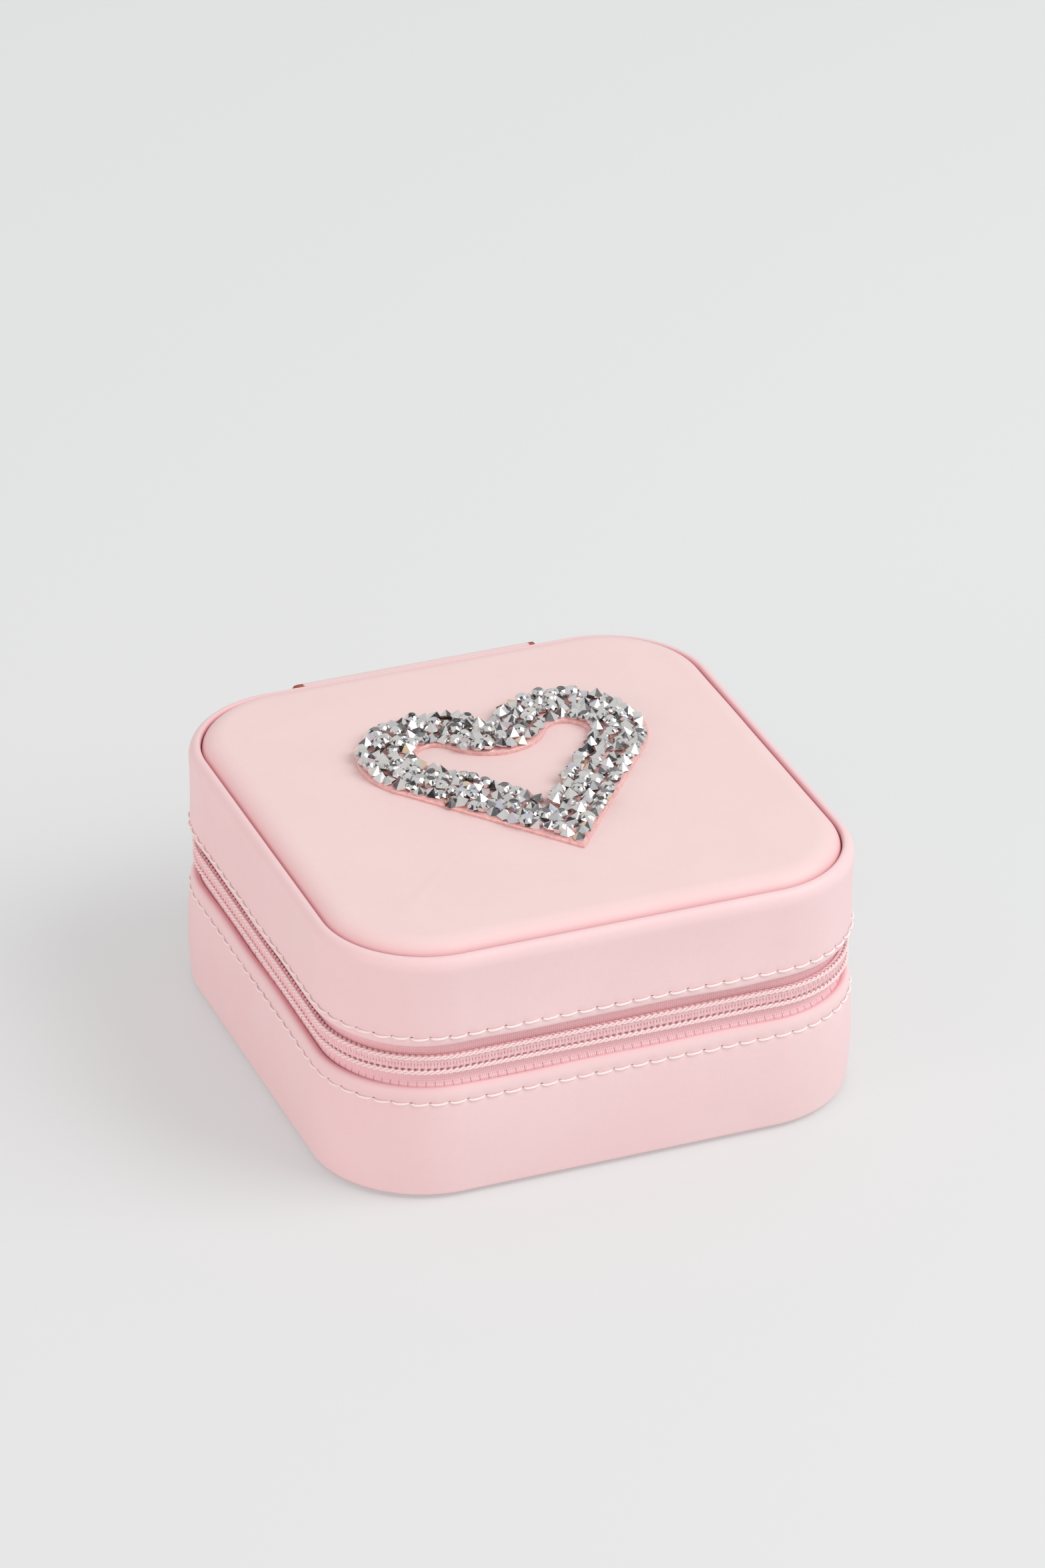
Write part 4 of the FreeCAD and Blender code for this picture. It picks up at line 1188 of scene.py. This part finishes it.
def area_light(name, direction, distance, size, power, colour=(1, 1, 1)):
    """Square light at a distance in a direction, facing the case."""
    data = bpy.data.lights.new(name, "AREA")
    data.size = size
    data.energy = power
    data.color = colour
    item = add_object(name, data)
    towards = Vector(direction).normalized()
    item.location = towards * distance + LIGHTS_AIM
    item.rotation_euler = towards.to_track_quat("Z", "Y").to_euler()


def studio():
    """Pale floor that glows a little, so that it takes no tint from the case, under soft light: a broad
    key from the right, a weaker pinkish fill from the left, and an even sky."""
    corners = np.array([[-1, -1, 0], [1, -1, 0], [1, 1, 0], [-1, 1, 0]]) * FLOOR_HALF
    floor = new_piece("studio_floor", corners, [np.array([[0, 1, 2, 3]])])
    paper = Finish("floor_paper", Roughness=0.9, Specular_IOR_Level=0.1)
    paper.set(Base_Color=(0.52, 0.52, 0.52, 1.0))
    dress(floor, paper.set(Emission_Color=(0.955, 1.0, 1.0, 1.0), Emission_Strength=0.275))
    area_light("key_light", (0.76, -0.52, 0.93), distance=1.6, size=1.1, power=13.5)
    pinkish = (1.0, 0.62, 0.61)
    area_light("fill_light", (-0.94, -0.34, 0.14), distance=1.9, size=1.0, power=10.5, colour=pinkish)
    world = bpy.data.worlds.new("soft_sky")
    world.use_nodes = True
    sky = world.node_tree.nodes["Background"]
    sky.inputs["Color"].default_value = (1.0, 1.0, 1.0, 1.0)
    sky.inputs["Strength"].default_value = 0.66
    SCENE.world = world
    SCENE.view_settings.view_transform = "Standard"


def build():
    """Makes the finishes and all pieces, and dresses the CAD nodes that stay."""
    # pink, on the walls, is a touch deeper as painted shade; pale_pink, made for the lit top and also used
    # on the strap and bottom, is a touch paler as painted sheen
    pink, deeper = (0.890, 0.658, 0.665), (0.878, 0.635, 0.644)
    pale_pink, pale_deeper = (0.888, 0.677, 0.662), (0.878, 0.659, 0.645)
    lid_skin = leather("lid_leather", pink, deeper, LID_ROW)
    base_skin = leather("base_leather", pink, deeper, BASE_ROW)
    panel_skin = leather("panel_leather", pale_pink, pale_deeper)
    strap_skin = cut_leather("strap_leather", pale_pink, pale_deeper, (0.50, 0.13, 0.10))
    tape = woven("zip_tape", (0.985, 0.755, 0.770), (0.900, 0.500, 0.535), RIB_PITCH, slotted=True)
    cloth = woven("hinge_cloth", (0.800, 0.480, 0.490), (0.600, 0.280, 0.300), 0.8 * MM)
    coil = nylon("zip_nylon", (0.970, 0.660, 0.675), (0.940, 0.590, 0.605))
    pale = twisted("pale_thread", (0.970, 0.830, 0.825), (0.930, 0.700, 0.700))
    seam = twisted("seam_thread", (0.975, 0.900, 0.885), (0.920, 0.790, 0.780))
    lining = velvet("lining_velvet", (0.760, 0.500, 0.500), (0.620, 0.360, 0.365))
    roll = velvet("roll_velvet", (0.790, 0.540, 0.540), (0.660, 0.400, 0.405))
    metal = nickel("bright_nickel")

    place(base_leather(), "base", base_skin, "base_leather", "base_side_skin")
    place(bottom_leather(), "base", panel_skin, "base_leather", "base_bottom_skin")
    place(lid_leather(), "lid", lid_skin, "lid_leather", "lid_side_skin")
    top = place(lid_panel(), "lid", panel_skin, "lid_leather", "lid_top_panel")
    place(stitches("base_stitches", BASE_ROW), "base", seam, "zip_thread")
    place(stitches("lid_stitches", LID_ROW), "lid", seam, "zip_thread")

    for body, up in (("lid", 1), ("base", -1)):
        place(zip_tape("tape_" + body, up), body, tape, "zip_tape", "zip_tape_" + body)
        place(zip_coil("coil_" + body, up), body, coil, "zip_coil", "zip_coil_" + body)
        place(sewing_thread("sewing_" + body, up), body, pale, "zip_thread", "zip_thread_" + body)
        soften("stop_" + body, "zip_end_stop_" + body, 0.2 * MM, body, metal, "nickel")
    soften("stop_bottom", "zip_bottom_stop", 0.25 * MM, "base", metal, "nickel")
    soften("slider_case", "slider_body", 0.16 * MM, "slider", metal, "nickel")
    soften("slider_bridge", "slider_crown", 0.2 * MM, "slider", metal, "nickel")
    soften("zip_pull", "pull_tab", 0.22 * MM, "pull", metal, "nickel")

    strap = place(hinge_strap(), None, strap_skin, "strap_leather", "hinge_strap")
    inner = place(hinge_cloth(), None, cloth, "hinge_cloth", "hinge_cloth")
    for piece in (strap, inner):
        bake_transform(piece)

    place(emblem_film(), "lid", clear_film("emblem_film"), "film", "emblem_backing")
    place(emblem_stones(), "lid", crystal("emblem_crystal"), "stones", "emblem_stones")

    for number in range(1, 7):
        piece = place(ring_roll(number), "base", roll, "roll_velvet", "ring_roll_%d" % number)
    for node in ("divider_long", "divider_front", "divider_rear"):
        soften("velvet_" + node, node, 0.5 * MM, "base", lining, "velvet")
    soften("velvet_bezel", "mirror_bezel", 0.7 * MM, "lid", lining, "velvet")
    soften("lid_mirror", "mirror", 0.3 * MM, "lid", silvered("mirror_silver"), "mirror")

    board = pulp("grey_board", (0.62, 0.58, 0.52), (0.50, 0.46, 0.41), 1.0 * MM)
    foam = pulp("soft_foam", (0.93, 0.70, 0.69), (0.85, 0.60, 0.60), 0.6 * MM)
    for material, nodes in (
        (lining, ("base_lining", "lid_lining", "base_wall_board", "lid_wall_board")),
        (foam, ("base_wall_foam", "lid_wall_foam", "lid_foam_pad")),
        (board, ("base_floor_board", "lid_top_board")),
    ):
        for node in nodes:
            dress(frame["nodes"][node], material)


camera()
studio()
build()
